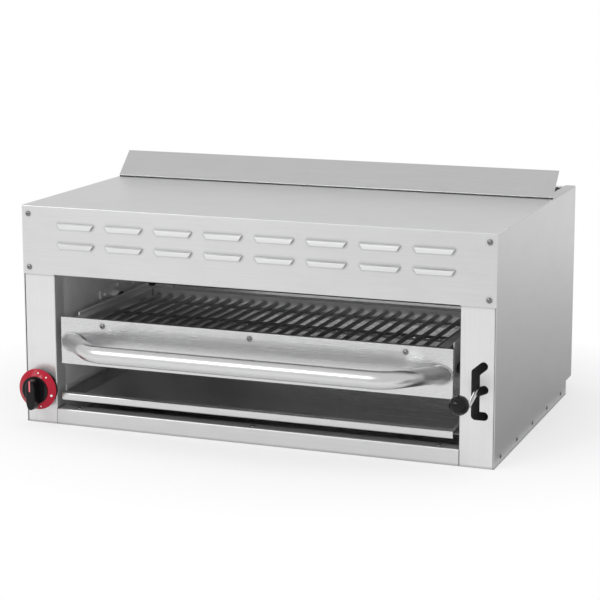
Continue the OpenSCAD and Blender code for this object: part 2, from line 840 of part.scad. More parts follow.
module front_arm_left() color(iron) mirror([1, 0, 0]) at_front_arm() arm_with_pin();
module front_arm_right() color(iron) at_front_arm() difference() {
  arm_bar();
  rod_x([arm_x - 1, 0, 0], pivot_d, arm_t + 2);
}
module rear_arms() color(iron) both_sides() at_rear_arm() difference() {
  arm_with_pin();
  rod_x([arm_x - 1, 0, 0], pivot_d, arm_t / 2 + 1);
}
// Shaft that makes the two rear arms turn together
module rear_cross_shaft() color(iron) at_rear_arm() {
  rod_x([-arm_x - arm_t / 2, 0, 0], pivot_d, 2 * arm_x + arm_t);
}

module lever_shaft() color(iron) at_front_arm() rod_x([arm_x, 0, 0], pivot_d, lever_x + yoke_w / 2 + 6 - arm_x);

// Fork on the shaft that carries the lever's swing pin
module lever_yoke() color(iron) at_front_arm() difference() {
  height = lever_eye_t + 2 * yoke_gap + 2 * yoke_wall;
  reach = yoke_reach + lever_eye_d / 2;
  union() {
    block([lever_x - yoke_w / 2, -reach, -height / 2], [lever_x + yoke_w / 2, 0, height / 2]);
    rod_x([lever_x - yoke_w / 2, 0, 0], 22, yoke_w);
  }
  rod_x([lever_x - yoke_w, 0, 0], pivot_d, 2 * yoke_w);
  block(
    [lever_x - yoke_w, -reach - 1, -lever_eye_t / 2 - yoke_gap],
    [lever_x + yoke_w, -yoke_reach + lever_eye_d / 2 + 4, lever_eye_t / 2 + yoke_gap]
  );
  translate([lever_x, -yoke_reach, -height]) cylinder(d = yoke_pin_d, h = 2 * height);
}

module yoke_pin() color(steel) at_front_arm() {
  height = lever_eye_t + 2 * yoke_gap + 2 * yoke_wall;
  translate([lever_x, -yoke_reach, -height / 2]) cylinder(d = yoke_pin_d, h = height);
  translate([lever_x, -yoke_reach, height / 2]) cylinder(d = yoke_pin_d + 4, h = 2.5);
}

// Rod from its eye in the yoke, out through the slot and round to the ball
module lever_rod() color(steel) at_front_arm() {
  tip = [-ball_side, -ball_ahead, ball_up];
  difference() {
    union() {
      translate([lever_x, -yoke_reach, -lever_eye_t / 2]) cylinder(d = lever_eye_d, h = lever_eye_t);
      rod_y([lever_x, -bend_l, 0], lever_d, bend_l - yoke_reach - lever_eye_d / 2 + 2);
    }
    translate([lever_x, -yoke_reach, -lever_eye_t]) cylinder(d = yoke_pin_d + 2 * pin_gap, h = 2 * lever_eye_t);
  }
  translate([lever_x, -bend_l, 0]) {
    sphere(d = lever_d);
    rotate([0, 0, atan2(tip[1], tip[0])]) rotate([0, 90 - atan2(tip[2], norm([tip[0], tip[1]])), 0])
      cylinder(d = lever_d - 1, h = norm(tip) - ball_d / 2 + 6);
  }
}

module ball_knob() color(black) at_front_arm() {
  tip = [-ball_side, -ball_ahead, ball_up];
  centre = [lever_x, -bend_l, 0] + tip;
  difference() {
    translate(centre) sphere(d = ball_d, $fn = 64);
    translate([lever_x, -bend_l, 0]) rotate([0, 0, atan2(tip[1], tip[0])])
      rotate([0, 90 - atan2(tip[2], norm([tip[0], tip[1]])), 0])
      cylinder(d = lever_d - 1, h = norm(tip) - ball_d / 2 + 6);
    translate([lever_x, -bend_l, 0]) sphere(d = lever_d);
  }
}

/* ---- carriage ---- */

module carriage_pin_places() {
  for (y = [pin_y, pin_y + arm_span]) {
    translate([0, face + y, pin_z]) children();
  }
}

module carriage_rails() color(dark_steel) both_sides() difference() {
  union() {
    block([web_x, carriage_front, pin_z - 14], [web_x + carriage_t, carriage_back, rack_z + 4]);
    block([grate_half - 6, carriage_front, leg_z - carriage_t], [web_x, carriage_back, leg_z]);
  }
  carriage_pin_places() rod_x([web_x - 1, 0, 0], pin_d, carriage_t + 2);
}

module carriage_ties() color(dark_steel) {
  for (y = [carriage_front + tie_front, carriage_back - tie_rear - tie_w]) {
    block([-web_x, y, leg_z - carriage_t - tie_t], [web_x, y + tie_w, leg_z - carriage_t]);
  }
}

module carriage_pins() color(steel) both_sides() carriage_pin_places() {
  rod_x([web_x, 0, 0], pin_d, carriage_t + arm_t + 2 * side_gap);
  rod_x([arm_x + arm_t + side_gap, 0, 0], pin_d + 2 * pin_head_w, pin_head_t);
}

/* ---- rack ---- */

module rack_side() along_y(rack_front, rack_back) folded([
  [rack_half, rack_z - rim_t / 2], [grate_half + rim_t / 2, rack_z - rim_t / 2],
  [grate_half + rim_t / 2, rack_z - rim_drop]
], rim_t, 1.8);

module rack_frame() color(steel) difference() {
  rack_frame_solid();
  rack_screw_places() translate([0, 0, -screw_l - 4]) cylinder(d = screw_d + 2 * screw_clear, h = screw_l + 4);
}

module rack_frame_solid() {
  both_sides() rack_side();
  along_x(-grate_half - rim_t / 2, grate_half + rim_t / 2) folded([
    [rack_back, rack_z - rim_t / 2], [rod_back + rim_t / 2, rack_z - rim_t / 2],
    [rod_back + rim_t / 2, rack_z - rim_drop]
  ], rim_t, 1.8);
  block(
    [-grate_half - rim_t / 2, rack_front, rack_z - rim_drop],
    [grate_half + rim_t / 2, rod_front, rack_z - 2]
  );
}

module rack_grate() color(iron) {
  for (i = [-(rod_count - 1) / 2:(rod_count - 1) / 2]) {
    rod_y([i * rod_pitch, rod_front, rod_z], rod_d, rod_back - rod_front);
  }
  first = rod_front + 24;
  last = rod_back - cross_bar_w - 30;
  for (y = [first, (first + last) / 2, last]) {
    block([-grate_half, y, cross_bar_z], [grate_half, y + cross_bar_w, cross_bar_z + cross_bar_t]);
  }
}

module rack_screw_places() {
  for (x = [-1, 0, 1]) {
    translate([x * (wall_x_in - rack_screw_inset), post_face, rack_z - 8]) rotate([90, 0, 0]) children();
  }
}

module rack_screws() color(steel) rack_screw_places() screw(screw_head_d, screw_head_h, screw_d, 5);

module rack_front_panel() color(steel) difference() {
  top = rack_z + 4;
  half = wall_x_in - panel_gap;
  union() {
    block([-half, post_face, top - panel_h], [half, rack_front, top]);
    block([-half, rack_front - 0.01, top - sheet_t], [half, rack_front + 8, top]);
    block([-half, rack_front - 0.01, top - panel_h], [half, rack_front + 6, top - panel_h + sheet_t]);
  }
  rack_screw_places() translate([0, 0, -screw_l]) cylinder(d = screw_d + 2 * screw_clear, h = 2 * screw_l);
}

// Bent tube: a straight bar and two legs that run back at 45 degrees to the panel
module rack_handle() color(steel) {
  bar_y = post_face - handle_out;
  handle_x = wall_x_in - panel_gap - handle_inset;
  corner = handle_x - handle_out;
  trim = handle_r * tan(22.5);
  bar_half = corner - trim;
  both_sides() {
    rod_x([0, bar_y, handle_z], handle_d, bar_half);
    translate([bar_half, bar_y + handle_r, handle_z]) rotate([0, 0, -90])
      rotate_extrude(angle = 45) translate([handle_r, 0]) circle(d = handle_d);
    difference() {
      translate([corner + trim * cos(45), bar_y + trim * sin(45), handle_z]) rotate([0, 0, -45])
        rotate([-90, 0, 0]) cylinder(d = handle_d, h = handle_out * 1.4142 - trim + handle_d);
      block([0, post_face, handle_z - handle_d], [half_w, post_face + 2 * handle_d, handle_z + handle_d]);
    }
  }
}

/* ---- drip tray ---- */

module drip_tray() color(steel) {
  half = wall_x_in - tray_gap;
  floor_half = half - tray_flare;
  start = post_face + 12;
  end = face + tray_y;
  side_line = [
    [-half, tray_z + tray_rise], [-floor_half, tray_z + liner_t / 2],
    [floor_half, tray_z + liner_t / 2], [half, tray_z + tray_rise]
  ];
  along_y(start, end) folded(side_line, liner_t);
  intersection() {
    for (y = [start, end - liner_t]) {
      block([-half_w, y, tray_z], [half_w, y + liner_t, tray_z + tray_rise]);
    }
    along_y(start, end) polygon(concat(
      [side_line[3] - [0, liner_t / 2], side_line[0] - [0, liner_t / 2]],
      [[-floor_half, tray_z], [floor_half, tray_z]]
    ));
  }
  along_x(-half, half) folded([
    [start + liner_t / 2, tray_z + tray_rise - liner_t / 2 - 1],
    [post_face + liner_t / 2, tray_z + tray_rise - liner_t / 2],
    [post_face + liner_t / 2, tray_z + liner_t / 2], [post_face + 8, tray_z + liner_t / 2]
  ], liner_t);
}

/* ---- control ---- */

module push_collar() color(steel) difference() {
  rod_y([line_x, post_face + sheet_t, gas_z], stem_d + 5, collar_t);
  rod_y([line_x, post_face, gas_z], stem_d + 2 * collar_gap, collar_t + 4);
}

module valve_stem() color(brass) {
  tail = stem_bore_l - knob_push - 1;
  rod_y([line_x, post_face - knob_front_gap - knob_push - skirt_h, gas_z], stem_d,
    knob_front_gap + knob_push + skirt_h + sheet_t + tail);
}

// Frame on the knob's axis: +Z points out of the front
module at_knob() {
  translate([line_x, post_face - knob_front_gap - knob_push, gas_z]) rotate([90, 0, 0]) children();
}

module knob_rim() color(black) at_knob() difference() {
  cylinder(d = knob_d - 2 * rim_step, h = rim_h, $fn = 96);
  translate([0, 0, -1]) cylinder(d = stem_d, h = rim_h + 2);
}

// Flared skirt: it widens to its lip, then slopes in to the hub
module knob_skirt() color(red) at_knob() rotate_extrude($fn = 96) polygon([
  [stem_d / 2, rim_h], [knob_d / 2 - rim_step, rim_h], [knob_d / 2, lip_h], [knob_d / 2 - 0.8, lip_h + 2],
  [hub_d / 2, skirt_h], [stem_d / 2, skirt_h]
]);

// Bar with two bowed sides, longer below than above
module knob_grip() color(black) at_knob() {
  bow = (hub_d * hub_d + grip_w * grip_w) / (4 * grip_w) * 1.6;
  translate([0, 0, skirt_h]) cylinder(d = hub_d, h = hub_h, $fn = 64);
  translate([0, 0, skirt_h]) linear_extrude(grip_h) intersection() {
    translate([bow - grip_w / 2, 0]) circle(r = bow, $fn = 128);
    translate([grip_w / 2 - bow, 0]) circle(r = bow, $fn = 128);
    translate([0, -grip_drop]) circle(d = hub_d + 2 * grip_drop, $fn = 64);
  }
}

module knob_pointer() color(red) at_knob() {
  block([-1.8, hub_d * 0.14, skirt_h + grip_h], [1.8, hub_d * 0.46, skirt_h + grip_h + 0.8]);
}

base_pan();
left_side_panel();
right_side_panel();
rear_panel();
top_panel();
front_valance();
left_post();
right_post();
bottom_rail();
flue_deflector();
left_liner();
right_liner();
rear_liner();
ceiling_baffle();
burner_rails();
burner_plenums();
ceramic_tiles();
tile_frames();
burner_screens();
venturi_tubes();
gas_manifold();
gas_jets();
gas_valve();
gas_inlet_pipe();
pilot_burner();
pivot_bushes();
tray_runners();
valance_screws();
side_screws();
rail_screws();
front_arm_left();
front_arm_right();
lever_shaft();
lever_yoke();
rear_arms();
rear_cross_shaft();
carriage_rails();
carriage_ties();
carriage_pins();
yoke_pin();
lever_rod();
ball_knob();
rack_frame();
rack_grate();
rack_front_panel();
rack_handle();
rack_screws();
drip_tray();
push_collar();
valve_stem();
knob_skirt();
knob_rim();
knob_grip();
knob_pointer();
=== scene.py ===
"""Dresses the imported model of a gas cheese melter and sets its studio."""

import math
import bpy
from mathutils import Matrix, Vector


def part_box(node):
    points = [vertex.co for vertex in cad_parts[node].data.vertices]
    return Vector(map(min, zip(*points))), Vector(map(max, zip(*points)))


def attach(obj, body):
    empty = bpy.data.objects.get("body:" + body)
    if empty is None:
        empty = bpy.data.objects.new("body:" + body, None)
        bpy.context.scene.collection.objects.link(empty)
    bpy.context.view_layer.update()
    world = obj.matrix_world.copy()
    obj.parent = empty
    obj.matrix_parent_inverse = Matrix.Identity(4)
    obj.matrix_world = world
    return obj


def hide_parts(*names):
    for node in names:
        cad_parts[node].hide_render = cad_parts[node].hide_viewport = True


bl_info = {
    "name": "Cheese melter",
    "version": (1, 0, 0),
    "blender": (4, 5, 0),
    "location": "View3D > Sidebar > Melter",
    "description": "Builds the visible pieces of a gas cheese melter round its packed frame",
    "category": "Object",
}

import bmesh
import bpy
from bpy.props import FloatProperty, FloatVectorProperty, PointerProperty
from mathutils import Matrix, Vector

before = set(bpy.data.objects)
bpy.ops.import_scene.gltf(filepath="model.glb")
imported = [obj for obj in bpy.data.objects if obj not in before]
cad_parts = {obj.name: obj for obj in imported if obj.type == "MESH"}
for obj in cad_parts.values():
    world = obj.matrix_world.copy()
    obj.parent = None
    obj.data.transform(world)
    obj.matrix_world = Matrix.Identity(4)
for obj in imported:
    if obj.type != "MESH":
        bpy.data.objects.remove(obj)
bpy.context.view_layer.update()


# ---------------------------------------------------------------- properties


class MelterSizes(bpy.types.PropertyGroup):
    """Sizes that a user would change."""

    edge_round: FloatProperty(
        name="Edge round",
        description="Radius on the cut edges of the sheet metal",
        default=0.0004,
        unit="LENGTH",
    )
    tube_bend: FloatProperty(
        name="Handle bend",
        description="Middle-line radius of the handle's bends",
        default=0.06,
        unit="LENGTH",
    )
    weld_bead: FloatProperty(
        name="Weld bead",
        description="Radius of the weld bead round each handle end",
        default=0.0016,
        unit="LENGTH",
    )
    grip_round: FloatProperty(
        name="Grip round",
        description="Radius along the edges of the knob's grip",
        default=0.0026,
        unit="LENGTH",
    )
    grip_draft: FloatProperty(
        name="Grip draft",
        description="How much the grip narrows from its foot to its face",
        default=0.0012,
        unit="LENGTH",
    )
    mark_size: FloatProperty(
        name="Dial mark",
        description="Radius of the painted marks on the knob's skirt",
        default=0.0019,
        unit="LENGTH",
    )
    neck_radius: FloatProperty(
        name="Ball neck",
        description="Radius of the short neck where the ball meets its rod",
        default=0.0068,
        unit="LENGTH",
    )


class MelterColours(bpy.types.PropertyGroup):
    """Colours that a user would change."""

    steel: FloatVectorProperty(
        name="Stainless steel",
        description="Colour of the outer sheets",
        default=(0.82, 0.82, 0.825),
        subtype="COLOR",
    )
    heated_steel: FloatVectorProperty(
        name="Heated steel",
        description="Colour of the cavity's sheets",
        default=(0.74, 0.74, 0.745),
        subtype="COLOR",
    )
    bare_rod: FloatVectorProperty(
        name="Grate rods",
        description="Colour of the grate's rods",
        default=(0.33, 0.33, 0.335),
        subtype="COLOR",
    )
    skirt_red: FloatVectorProperty(
        name="Knob red",
        description="Colour of the knob's skirt",
        default=(0.4, 0.008, 0.028),
        subtype="COLOR",
    )
    pointer_red: FloatVectorProperty(
        name="Pointer red",
        description="Colour of the line on the knob's grip",
        default=(0.72, 0.16, 0.2),
        subtype="COLOR",
    )
    gloss_black: FloatVectorProperty(
        name="Gloss black",
        description="Colour of the ball and of the knob's grip",
        default=(0.006, 0.006, 0.007),
        subtype="COLOR",
    )
    studio_floor: FloatVectorProperty(
        name="Studio floor",
        description="Colour of the floor under the melter",
        default=(0.9, 0.9, 0.9),
        subtype="COLOR",
    )


# ---------------------------------------------------------------- shader sums


class Wire:
    """A shader socket that takes part in sums."""

    def __init__(self, finish, socket):
        self.finish = finish
        self.socket = socket

    def sum_with(self, operation, other, flipped=False):
        """The Math node of one sum. flipped puts the other side first."""
        first, second = (other, self) if flipped else (self, other)
        return self.finish.add("ShaderNodeMath", {"operation": operation}, {0: first, 1: second})

    def __add__(self, other):
        return self.sum_with("ADD", other)

    def __radd__(self, other):
        return self.sum_with("ADD", other, True)

    def __sub__(self, other):
        return self.sum_with("SUBTRACT", other)

    def __rsub__(self, other):
        return self.sum_with("SUBTRACT", other, True)

    def __mul__(self, other):
        return self.sum_with("MULTIPLY", other)

    def __rmul__(self, other):
        return self.sum_with("MULTIPLY", other, True)

    def __truediv__(self, other):
        return self.sum_with("DIVIDE", other)

    def __rtruediv__(self, other):
        return self.sum_with("DIVIDE", other, True)

    def __pow__(self, other):
        return self.sum_with("POWER", other)

    def __rpow__(self, other):
        return self.sum_with("POWER", other, True)

    def __lt__(self, other):
        return self.sum_with("LESS_THAN", other)

    def __gt__(self, other):
        return self.sum_with("GREATER_THAN", other)


# Sockets of a Mix node for colours. Their names also stand for its sockets for numbers.
MIX_FIRST, MIX_SECOND, MIX_RESULT = 6, 7, 2


class Finish:
    """The nodes of a material or of the world, under construction."""

    def __init__(self, owner):
        self.owner = owner
        owner.use_nodes = True
        self.tree = owner.node_tree
        self.tree.nodes.clear()

    def add(self, kind, settings=None, values=None, output=0):
        """Adds a node: its settings first, then the values or links of its sockets."""
        node = self.tree.nodes.new(kind)
        for key, value in (settings or {}).items():
            if key == "stops":
                self.set_stops(node.color_ramp, value)
            else:
                setattr(node, key, value)
        for key, value in (values or {}).items():
            socket = node.inputs[key]
            if isinstance(value, Wire):
                self.tree.links.new(value.socket, socket)
            elif socket.type == "RGBA" and len(value) == 3:
                socket.default_value = (*value, 1)
            else:
                socket.default_value = value
        return Wire(self, node.outputs[output]) if node.outputs else None

    def set_stops(self, ramp, stops):
        """Gives a ramp its stops, each a place and a grey tone."""
        while len(ramp.elements) < len(stops):
            ramp.elements.new(0.5)
        for element, (place, tone) in zip(ramp.elements, stops):
            element.position = place
            element.color = (tone, tone, tone, 1)

    def place(self):
        """The place on the object, in metres."""
        return self.add("ShaderNodeTexCoord", output="Object")

    def axis(self, which):
        """One coordinate of the place on the object."""
        return self.add("ShaderNodeSeparateXYZ", {}, {"Vector": self.place()}, which)

    def ray(self, kind):
        """1 for a ray of a kind, such as Camera, and 0 for any other."""
        return self.add("ShaderNodeLightPath", output=f"Is {kind} Ray")

    def noise(self, scale, stretch=(1, 1, 1), detail=3.0, roughness=0.5):
        place = self.add("ShaderNodeMapping", {}, {"Vector": self.place(), "Scale": stretch})
        values = {"Vector": place, "Scale": scale, "Detail": detail, "Roughness": roughness}
        return self.add("ShaderNodeTexNoise", {}, values)

    def ramp(self, factor, stops):
        return self.add("ShaderNodeValToRGB", {"stops": stops}, {0: factor})

    def between(self, factor, first, second):
        """A colour between two colours."""
        values = {0: factor, MIX_FIRST: first, MIX_SECOND: second}
        return self.add("ShaderNodeMix", {"data_type": "RGBA"}, values, MIX_RESULT)

    def bump(self, height, distance, strength=1.0):
        values = {"Height": height, "Distance": distance, "Strength": strength}
        return self.add("ShaderNodeBump", {}, values)

    def done(self, **sockets):
        """Joins the surface to the output, with underscores for the spaces in socket names."""
        values = {key.replace("_", " "): value for key, value in sockets.items()}
        surface = self.add("ShaderNodeBsdfPrincipled", {}, values)
        self.add("ShaderNodeOutputMaterial", {}, {"Surface": surface})
        return self.owner


def material(name):
    """A new material, ready for its nodes."""
    return Finish(bpy.data.materials.new(name))


def shade(colour, share):
    """A colour times a number, kept within white."""
    return [min(1, c * share) for c in colour]


# ---------------------------------------------------------------- finishes


# Stretch of the noise that draws brush lines along an axis
ALONG = {"x": (6, 420, 420), "y": (420, 6, 420), "z": (420, 420, 6)}
# How far the shade painted round a crease spreads from it
PAINTED_SHADE_REACH = 0.006


def brushed_steel(name, colour, grain="x", rough=0.3, stain=0.06, metal=1.0):
    """Sheet with fine streaks along one axis, faint handling marks, and shade painted into its
    creases.
    """
    f = material(name)
    streaks = f.noise(1.0, ALONG[grain], detail=4.0, roughness=0.6)
    clouds = f.noise(5.0, detail=2.0)
    smears = f.ramp(f.noise(14.0, (1, 1, 2.2), detail=5.0), [(0.48, 0.0), (0.72, 1.0)])
    near = {"Distance": PAINTED_SHADE_REACH}
    # Painted shade: ambient occlusion darkens the base colour in creases and seams, and round
    # louvres and screws
    crease_painted_shade = 1 - f.add("ShaderNodeAmbientOcclusion", {"samples": 8}, near, "AO")
    tone = f.between(streaks, shade(colour, 0.93), shade(colour, 1.05))
    tone = f.between(smears * stain, tone, shade(colour, 0.6))
    return f.done(
        Base_Color=f.between(crease_painted_shade * 1.3, tone, shade(colour, 0.1)),
        Metallic=metal,
        Roughness=rough - 0.06 + streaks * 0.1 + clouds * 0.05,
        Normal=f.bump(streaks, 0.00004, 0.5),
    )


def heated_sheet(name, colour, rough=0.42, stain=0.5):
    """Inner sheet dulled by heat and by cooking."""
    f = material(name)
    streaks = f.noise(1.0, ALONG["z"], detail=3.0)
    clouds = f.noise(7.0, detail=5.0, roughness=0.62)
    film = f.ramp(clouds, [(0.42, 0.0), (0.75, 1.0)])
    browned = (colour[0] * 0.55, colour[1] * 0.5, colour[2] * 0.45)
    tone = f.between(film * stain, colour, browned)
    return f.done(
        Base_Color=f.between(streaks * 0.3, tone, shade(colour, 1.15)),
        Metallic=0.35,
        Roughness=rough + film * 0.12,
        Normal=f.bump(clouds, 0.00008, 0.3),
    )


def polished_tube(name, colour, rough=0.16):
    """Round bar or tube with faint polishing lines along it."""
    f = material(name)
    lines = f.noise(1.0, (4, 300, 300), detail=2.0)
    clouds = f.noise(22.0, detail=3.0)
    return f.done(
        Base_Color=f.between(lines, shade(colour, 0.95), colour),
        Metallic=1.0,
        Roughness=rough + lines * 0.05 + clouds * 0.04,
        Normal=f.bump(lines, 0.00002, 0.3),
    )


def black_iron(name, colour=(0.03, 0.03, 0.032), rough=0.5):
    """Painted iron with a cast grain, worn pale in patches."""
    f = material(name)
    grain = f.noise(260.0, detail=4.0)
    wear = f.ramp(f.noise(30.0, detail=4.0), [(0.6, 0.0), (0.8, 1.0)])
    return f.done(
        Base_Color=f.between(wear * 0.4, colour, shade(colour, 2.6)),
        Metallic=0.4,
        Roughness=rough + grain * 0.15,
        Normal=f.bump(grain, 0.0002, 0.4),
    )


def yellow_brass(name):
    """Machined brass with turning lines and tarnish."""
    f = material(name)
    lathe_lines = f.noise(1.0, (90, 700, 90), detail=2.0)
    tarnish = f.ramp(f.noise(45.0, detail=4.0), [(0.45, 0.0), (0.8, 1.0)])
    bright, dull = (0.66, 0.47, 0.19), (0.32, 0.2, 0.08)
    return f.done(
        Base_Color=f.between(tarnish * 0.6, bright, dull),
        Metallic=1.0,
        Roughness=0.28 + tarnish * 0.2,
        Normal=f.bump(lathe_lines, 0.00005, 0.3),
    )


# Spacing of the flame holes, and a hole's radius as a share of half of that
HOLE_PITCH = 0.0021
HOLE_SHARE = 0.62


def porous_tile(name):
    """Ceramic tile with rows of small flame holes, painted dark for the shade in them."""
    f = material(name)
    half = HOLE_PITCH / 2
    cells = []
    for which in "XY":
        values = {0: f.axis(which), 1: HOLE_PITCH}
        offset = f.add("ShaderNodeMath", {"operation": "PINGPONG"}, values)
        cells.append((offset - half) / half)
    hole = (cells[0] * cells[0] + cells[1] * cells[1]) ** 0.5 < HOLE_SHARE
    warm = f.between(f.noise(60.0, detail=4.0), (0.78, 0.72, 0.62), (0.9, 0.86, 0.78))
    # Painted shade: the colour of the holes stands for the shade inside them
    hole_shade = (0.12, 0.09, 0.07)
    return f.done(
        Base_Color=f.between(hole, warm, hole_shade),
        Roughness=0.85,
        Normal=f.bump(1 - hole, 0.0006, 0.6),
    )


def moulded_gloss(name, colour, rough=0.12):
    """Gloss plastic with a faint moulded ripple."""
    f = material(name)
    ripple = f.noise(90.0, detail=2.0)
    dust = f.ramp(f.noise(420.0, detail=2.0), [(0.62, 0.0), (0.8, 1.0)])
    return f.done(
        Base_Color=f.between(dust * 0.12, colour, [min(1, c + 0.12) for c in colour]),
        Roughness=rough + dust * 0.12,
        IOR=1.42,
        Specular_IOR_Level=0.28,
        Coat_Weight=0.1,
        Coat_Roughness=0.08,
        Normal=f.bump(ripple, 0.00006, 0.35),
    )


def painted_mark(name):
    """White paint, slightly uneven."""
    f = material(name)
    speck = f.noise(300.0, detail=2.0)
    return f.done(
        Base_Color=f.between(speck, (0.86, 0.86, 0.86), (0.95, 0.95, 0.95)),
        Roughness=0.35 + speck * 0.1,
    )


finishes = {}


def mix_finishes(colours):
    """Makes every material of the melter once."""
    steel = tuple(colours.steel)
    heated = tuple(colours.heated_steel)
    finishes.update(
        front=brushed_steel("front_steel", steel, "x", 0.34),
        post=brushed_steel("post_steel", shade(steel, 0.97), "z", 0.34, metal=0.7),
        # Painted shade: the side sheets are a darker copy of the front's steel, for the less
        # light on them
        side=brushed_steel("side_steel_painted_shade", shade(steel, 0.84), "y", 0.38),
        top=brushed_steel("top_steel", steel, "x", 0.34),
        # Painted shade: the deflector is a darker copy of the same steel, which dims the bright
        # sky it mirrors
        flue=brushed_steel("flue_steel_painted_shade", shade(steel, 0.84), "x", 0.32),
        rack=brushed_steel("rack_steel", shade(steel, 0.9), "x", 0.25),
        rail_front=brushed_steel("rail_steel", shade(steel, 0.9), "x", 0.3, metal=0.7),
        tray=brushed_steel("tray_steel", shade(steel, 0.92), "x", 0.24),
        rim=brushed_steel("rim_steel", shade(steel, 0.8), "x", 0.34, metal=0.8),
        rear=brushed_steel("rear_liner_steel", steel, "x", 0.24),
        liner=heated_sheet("liner_steel", heated),
        burner=heated_sheet("burner_steel", shade(heated, 0.55), 0.5, 0.8),
        rail=heated_sheet("carriage_steel", shade(heated, 0.9), 0.32, 0.25),
        rod=polished_tube("grate_steel", tuple(colours.bare_rod), 0.26),
        tube=polished_tube("handle_steel", (0.76, 0.76, 0.765), 0.26),
        weld=polished_tube("weld_steel", (0.55, 0.55, 0.56), 0.32),
        chrome=polished_tube("lever_steel", (0.8, 0.8, 0.81), 0.1),
        screw=polished_tube("screw_steel", (0.27, 0.27, 0.275), 0.16),
        iron=black_iron("black_iron"),
        pipe=black_iron("black_pipe", (0.04, 0.04, 0.043), 0.55),
        brass=yellow_brass("yellow_brass"),
        tile=porous_tile("porous_tile"),
        black=moulded_gloss("gloss_black", tuple(colours.gloss_black)),
        red=moulded_gloss("knob_red", tuple(colours.skirt_red), 0.22),
        pointer=moulded_gloss("pointer_red", tuple(colours.pointer_red), 0.3),
        mark=painted_mark("painted_mark"),
    )


def finish_of(name):
    """A material by its name in finishes. The first call makes them all."""
    if not finishes:
        mix_finishes(bpy.context.scene.melter_colours)
    return finishes[name]


# ---------------------------------------------------------------- making pieces


# Points nearer to each other than this are one point
SAME_POINT = 0.000002
# Faces that turn by less than this are one flat sheet
FLAT_ANGLE = math.radians(0.3)
# Edges that turn by more than this aren't shaded smooth
FOLD_ANGLE = math.radians(20)
# Edges that turn by more than this are cut edges, and are rounded
CUT_ANGLE = math.radians(35)


def soft_shading():
    """Modifier tree that shades round faces smooth and leaves folds sharp."""
    known = bpy.data.node_groups.get("soft_shading")
    if known:
        return known
    group = bpy.data.node_groups.new("soft_shading", "GeometryNodeTree")
    group.interface.new_socket("Geometry", in_out="INPUT", socket_type="NodeSocketGeometry")
    group.interface.new_socket("Geometry", in_out="OUTPUT", socket_type="NodeSocketGeometry")
    start = group.nodes.new("NodeGroupInput")
    faces = group.nodes.new("GeometryNodeSetShadeSmooth")
    faces.domain = "FACE"
    angle = group.nodes.new("GeometryNodeInputMeshEdgeAngle")
    sharp = group.nodes.new("FunctionNodeCompare")
    sharp.operation = "GREATER_THAN"
    sharp.inputs[1].default_value = FOLD_ANGLE
    edges = group.nodes.new("GeometryNodeSetShadeSmooth")
    edges.domain = "EDGE"
    edges.inputs["Shade Smooth"].default_value = False
    end = group.nodes.new("NodeGroupOutput")
    for source, target in (
        (start.outputs[0], faces.inputs[0]),
        (faces.outputs[0], edges.inputs[0]),
        (angle.outputs[0], sharp.inputs[0]),
        (sharp.outputs[0], edges.inputs["Selection"]),
        (edges.outputs[0], end.inputs[0]),
    ):
        group.links.new(source, target)
    return group


def coat(node, finish, edge=None):
    """Gives a node of the frame its finish, rounds its cut edges and shades its curves."""
    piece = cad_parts[node]
    if not piece.material_slots:
        piece.data.materials.append(finish_of(finish))
    for slot in piece.material_slots:
        slot.material = finish_of(finish)
    weld = piece.modifiers.new("weld", "WELD")
    weld.merge_threshold = SAME_POINT
    if edge:
        flat = piece.modifiers.new("flats", "DECIMATE")
        flat.decimate_type = "DISSOLVE"
        flat.angle_limit = FLAT_ANGLE
        bevel = piece.modifiers.new("edges", "BEVEL")
        bevel.width = edge
        bevel.segments = 2
        bevel.limit_method = "ANGLE"
        bevel.angle_limit = CUT_ANGLE
    shading = piece.modifiers.new("shading", "NODES")
    shading.node_group = soft_shading()
    normals = piece.modifiers.new("normals", "WEIGHTED_NORMAL")
    normals.mode = "FACE_AREA"
    normals.weight = 100
    normals.keep_sharp = True


def piece_from(name, made, finish, body, replaces=()):
    """Makes an object from a bmesh, and puts it on its body of the frame."""
    mesh = bpy.data.meshes.new(name)
    made.to_mesh(mesh)
    made.free()
    mesh.materials.append(finish_of(finish))
    piece = bpy.data.objects.new(name, mesh)
    bpy.context.scene.collection.objects.link(piece)
    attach(piece, body)
    if replaces:
        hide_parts(*replaces)
    return piece


def full_turn(count):
    """Angles at even steps round a circle."""
    return [2 * math.pi * k / count for k in range(count)]


def lofted(rings, closed_run=False):
    """Skins rings of points. The ends get caps, or the run joins its own start."""
    made = bmesh.new()
    loops = [[made.verts.new(point) for point in ring] for ring in rings]
    pairs = list(zip(loops, loops[1:]))
    if closed_run:
        pairs.append((loops[-1], loops[0]))
    for low, high in pairs:
        for k in range(len(low)):
            n = (k + 1) % len(low)
            made.faces.new((low[k], low[n], high[n], high[k])).smooth = True
    if not closed_run:
        made.faces.new(loops[0])
        made.faces.new(loops[-1])
    bmesh.ops.recalc_face_normals(made, faces=made.faces)
    return made


def joined(parts):
    """One bmesh from several."""
    whole = bmesh.new()
    for part in parts:
        mesh = bpy.data.meshes.new("part")
        part.to_mesh(mesh)
        part.free()
        whole.from_mesh(mesh)
        bpy.data.meshes.remove(mesh)
    return whole


def sharpened(made, angle=32):
    """Marks the edges past an angle as sharp, so the rest can be smooth."""
    limit = math.radians(angle)
    for edge in made.edges:
        if len(edge.link_faces) == 2 and edge.calc_face_angle() > limit:
            edge.smooth = False
    return made


# A profile's point nearer to the axis than this is on it
ON_AXIS = 1e-7


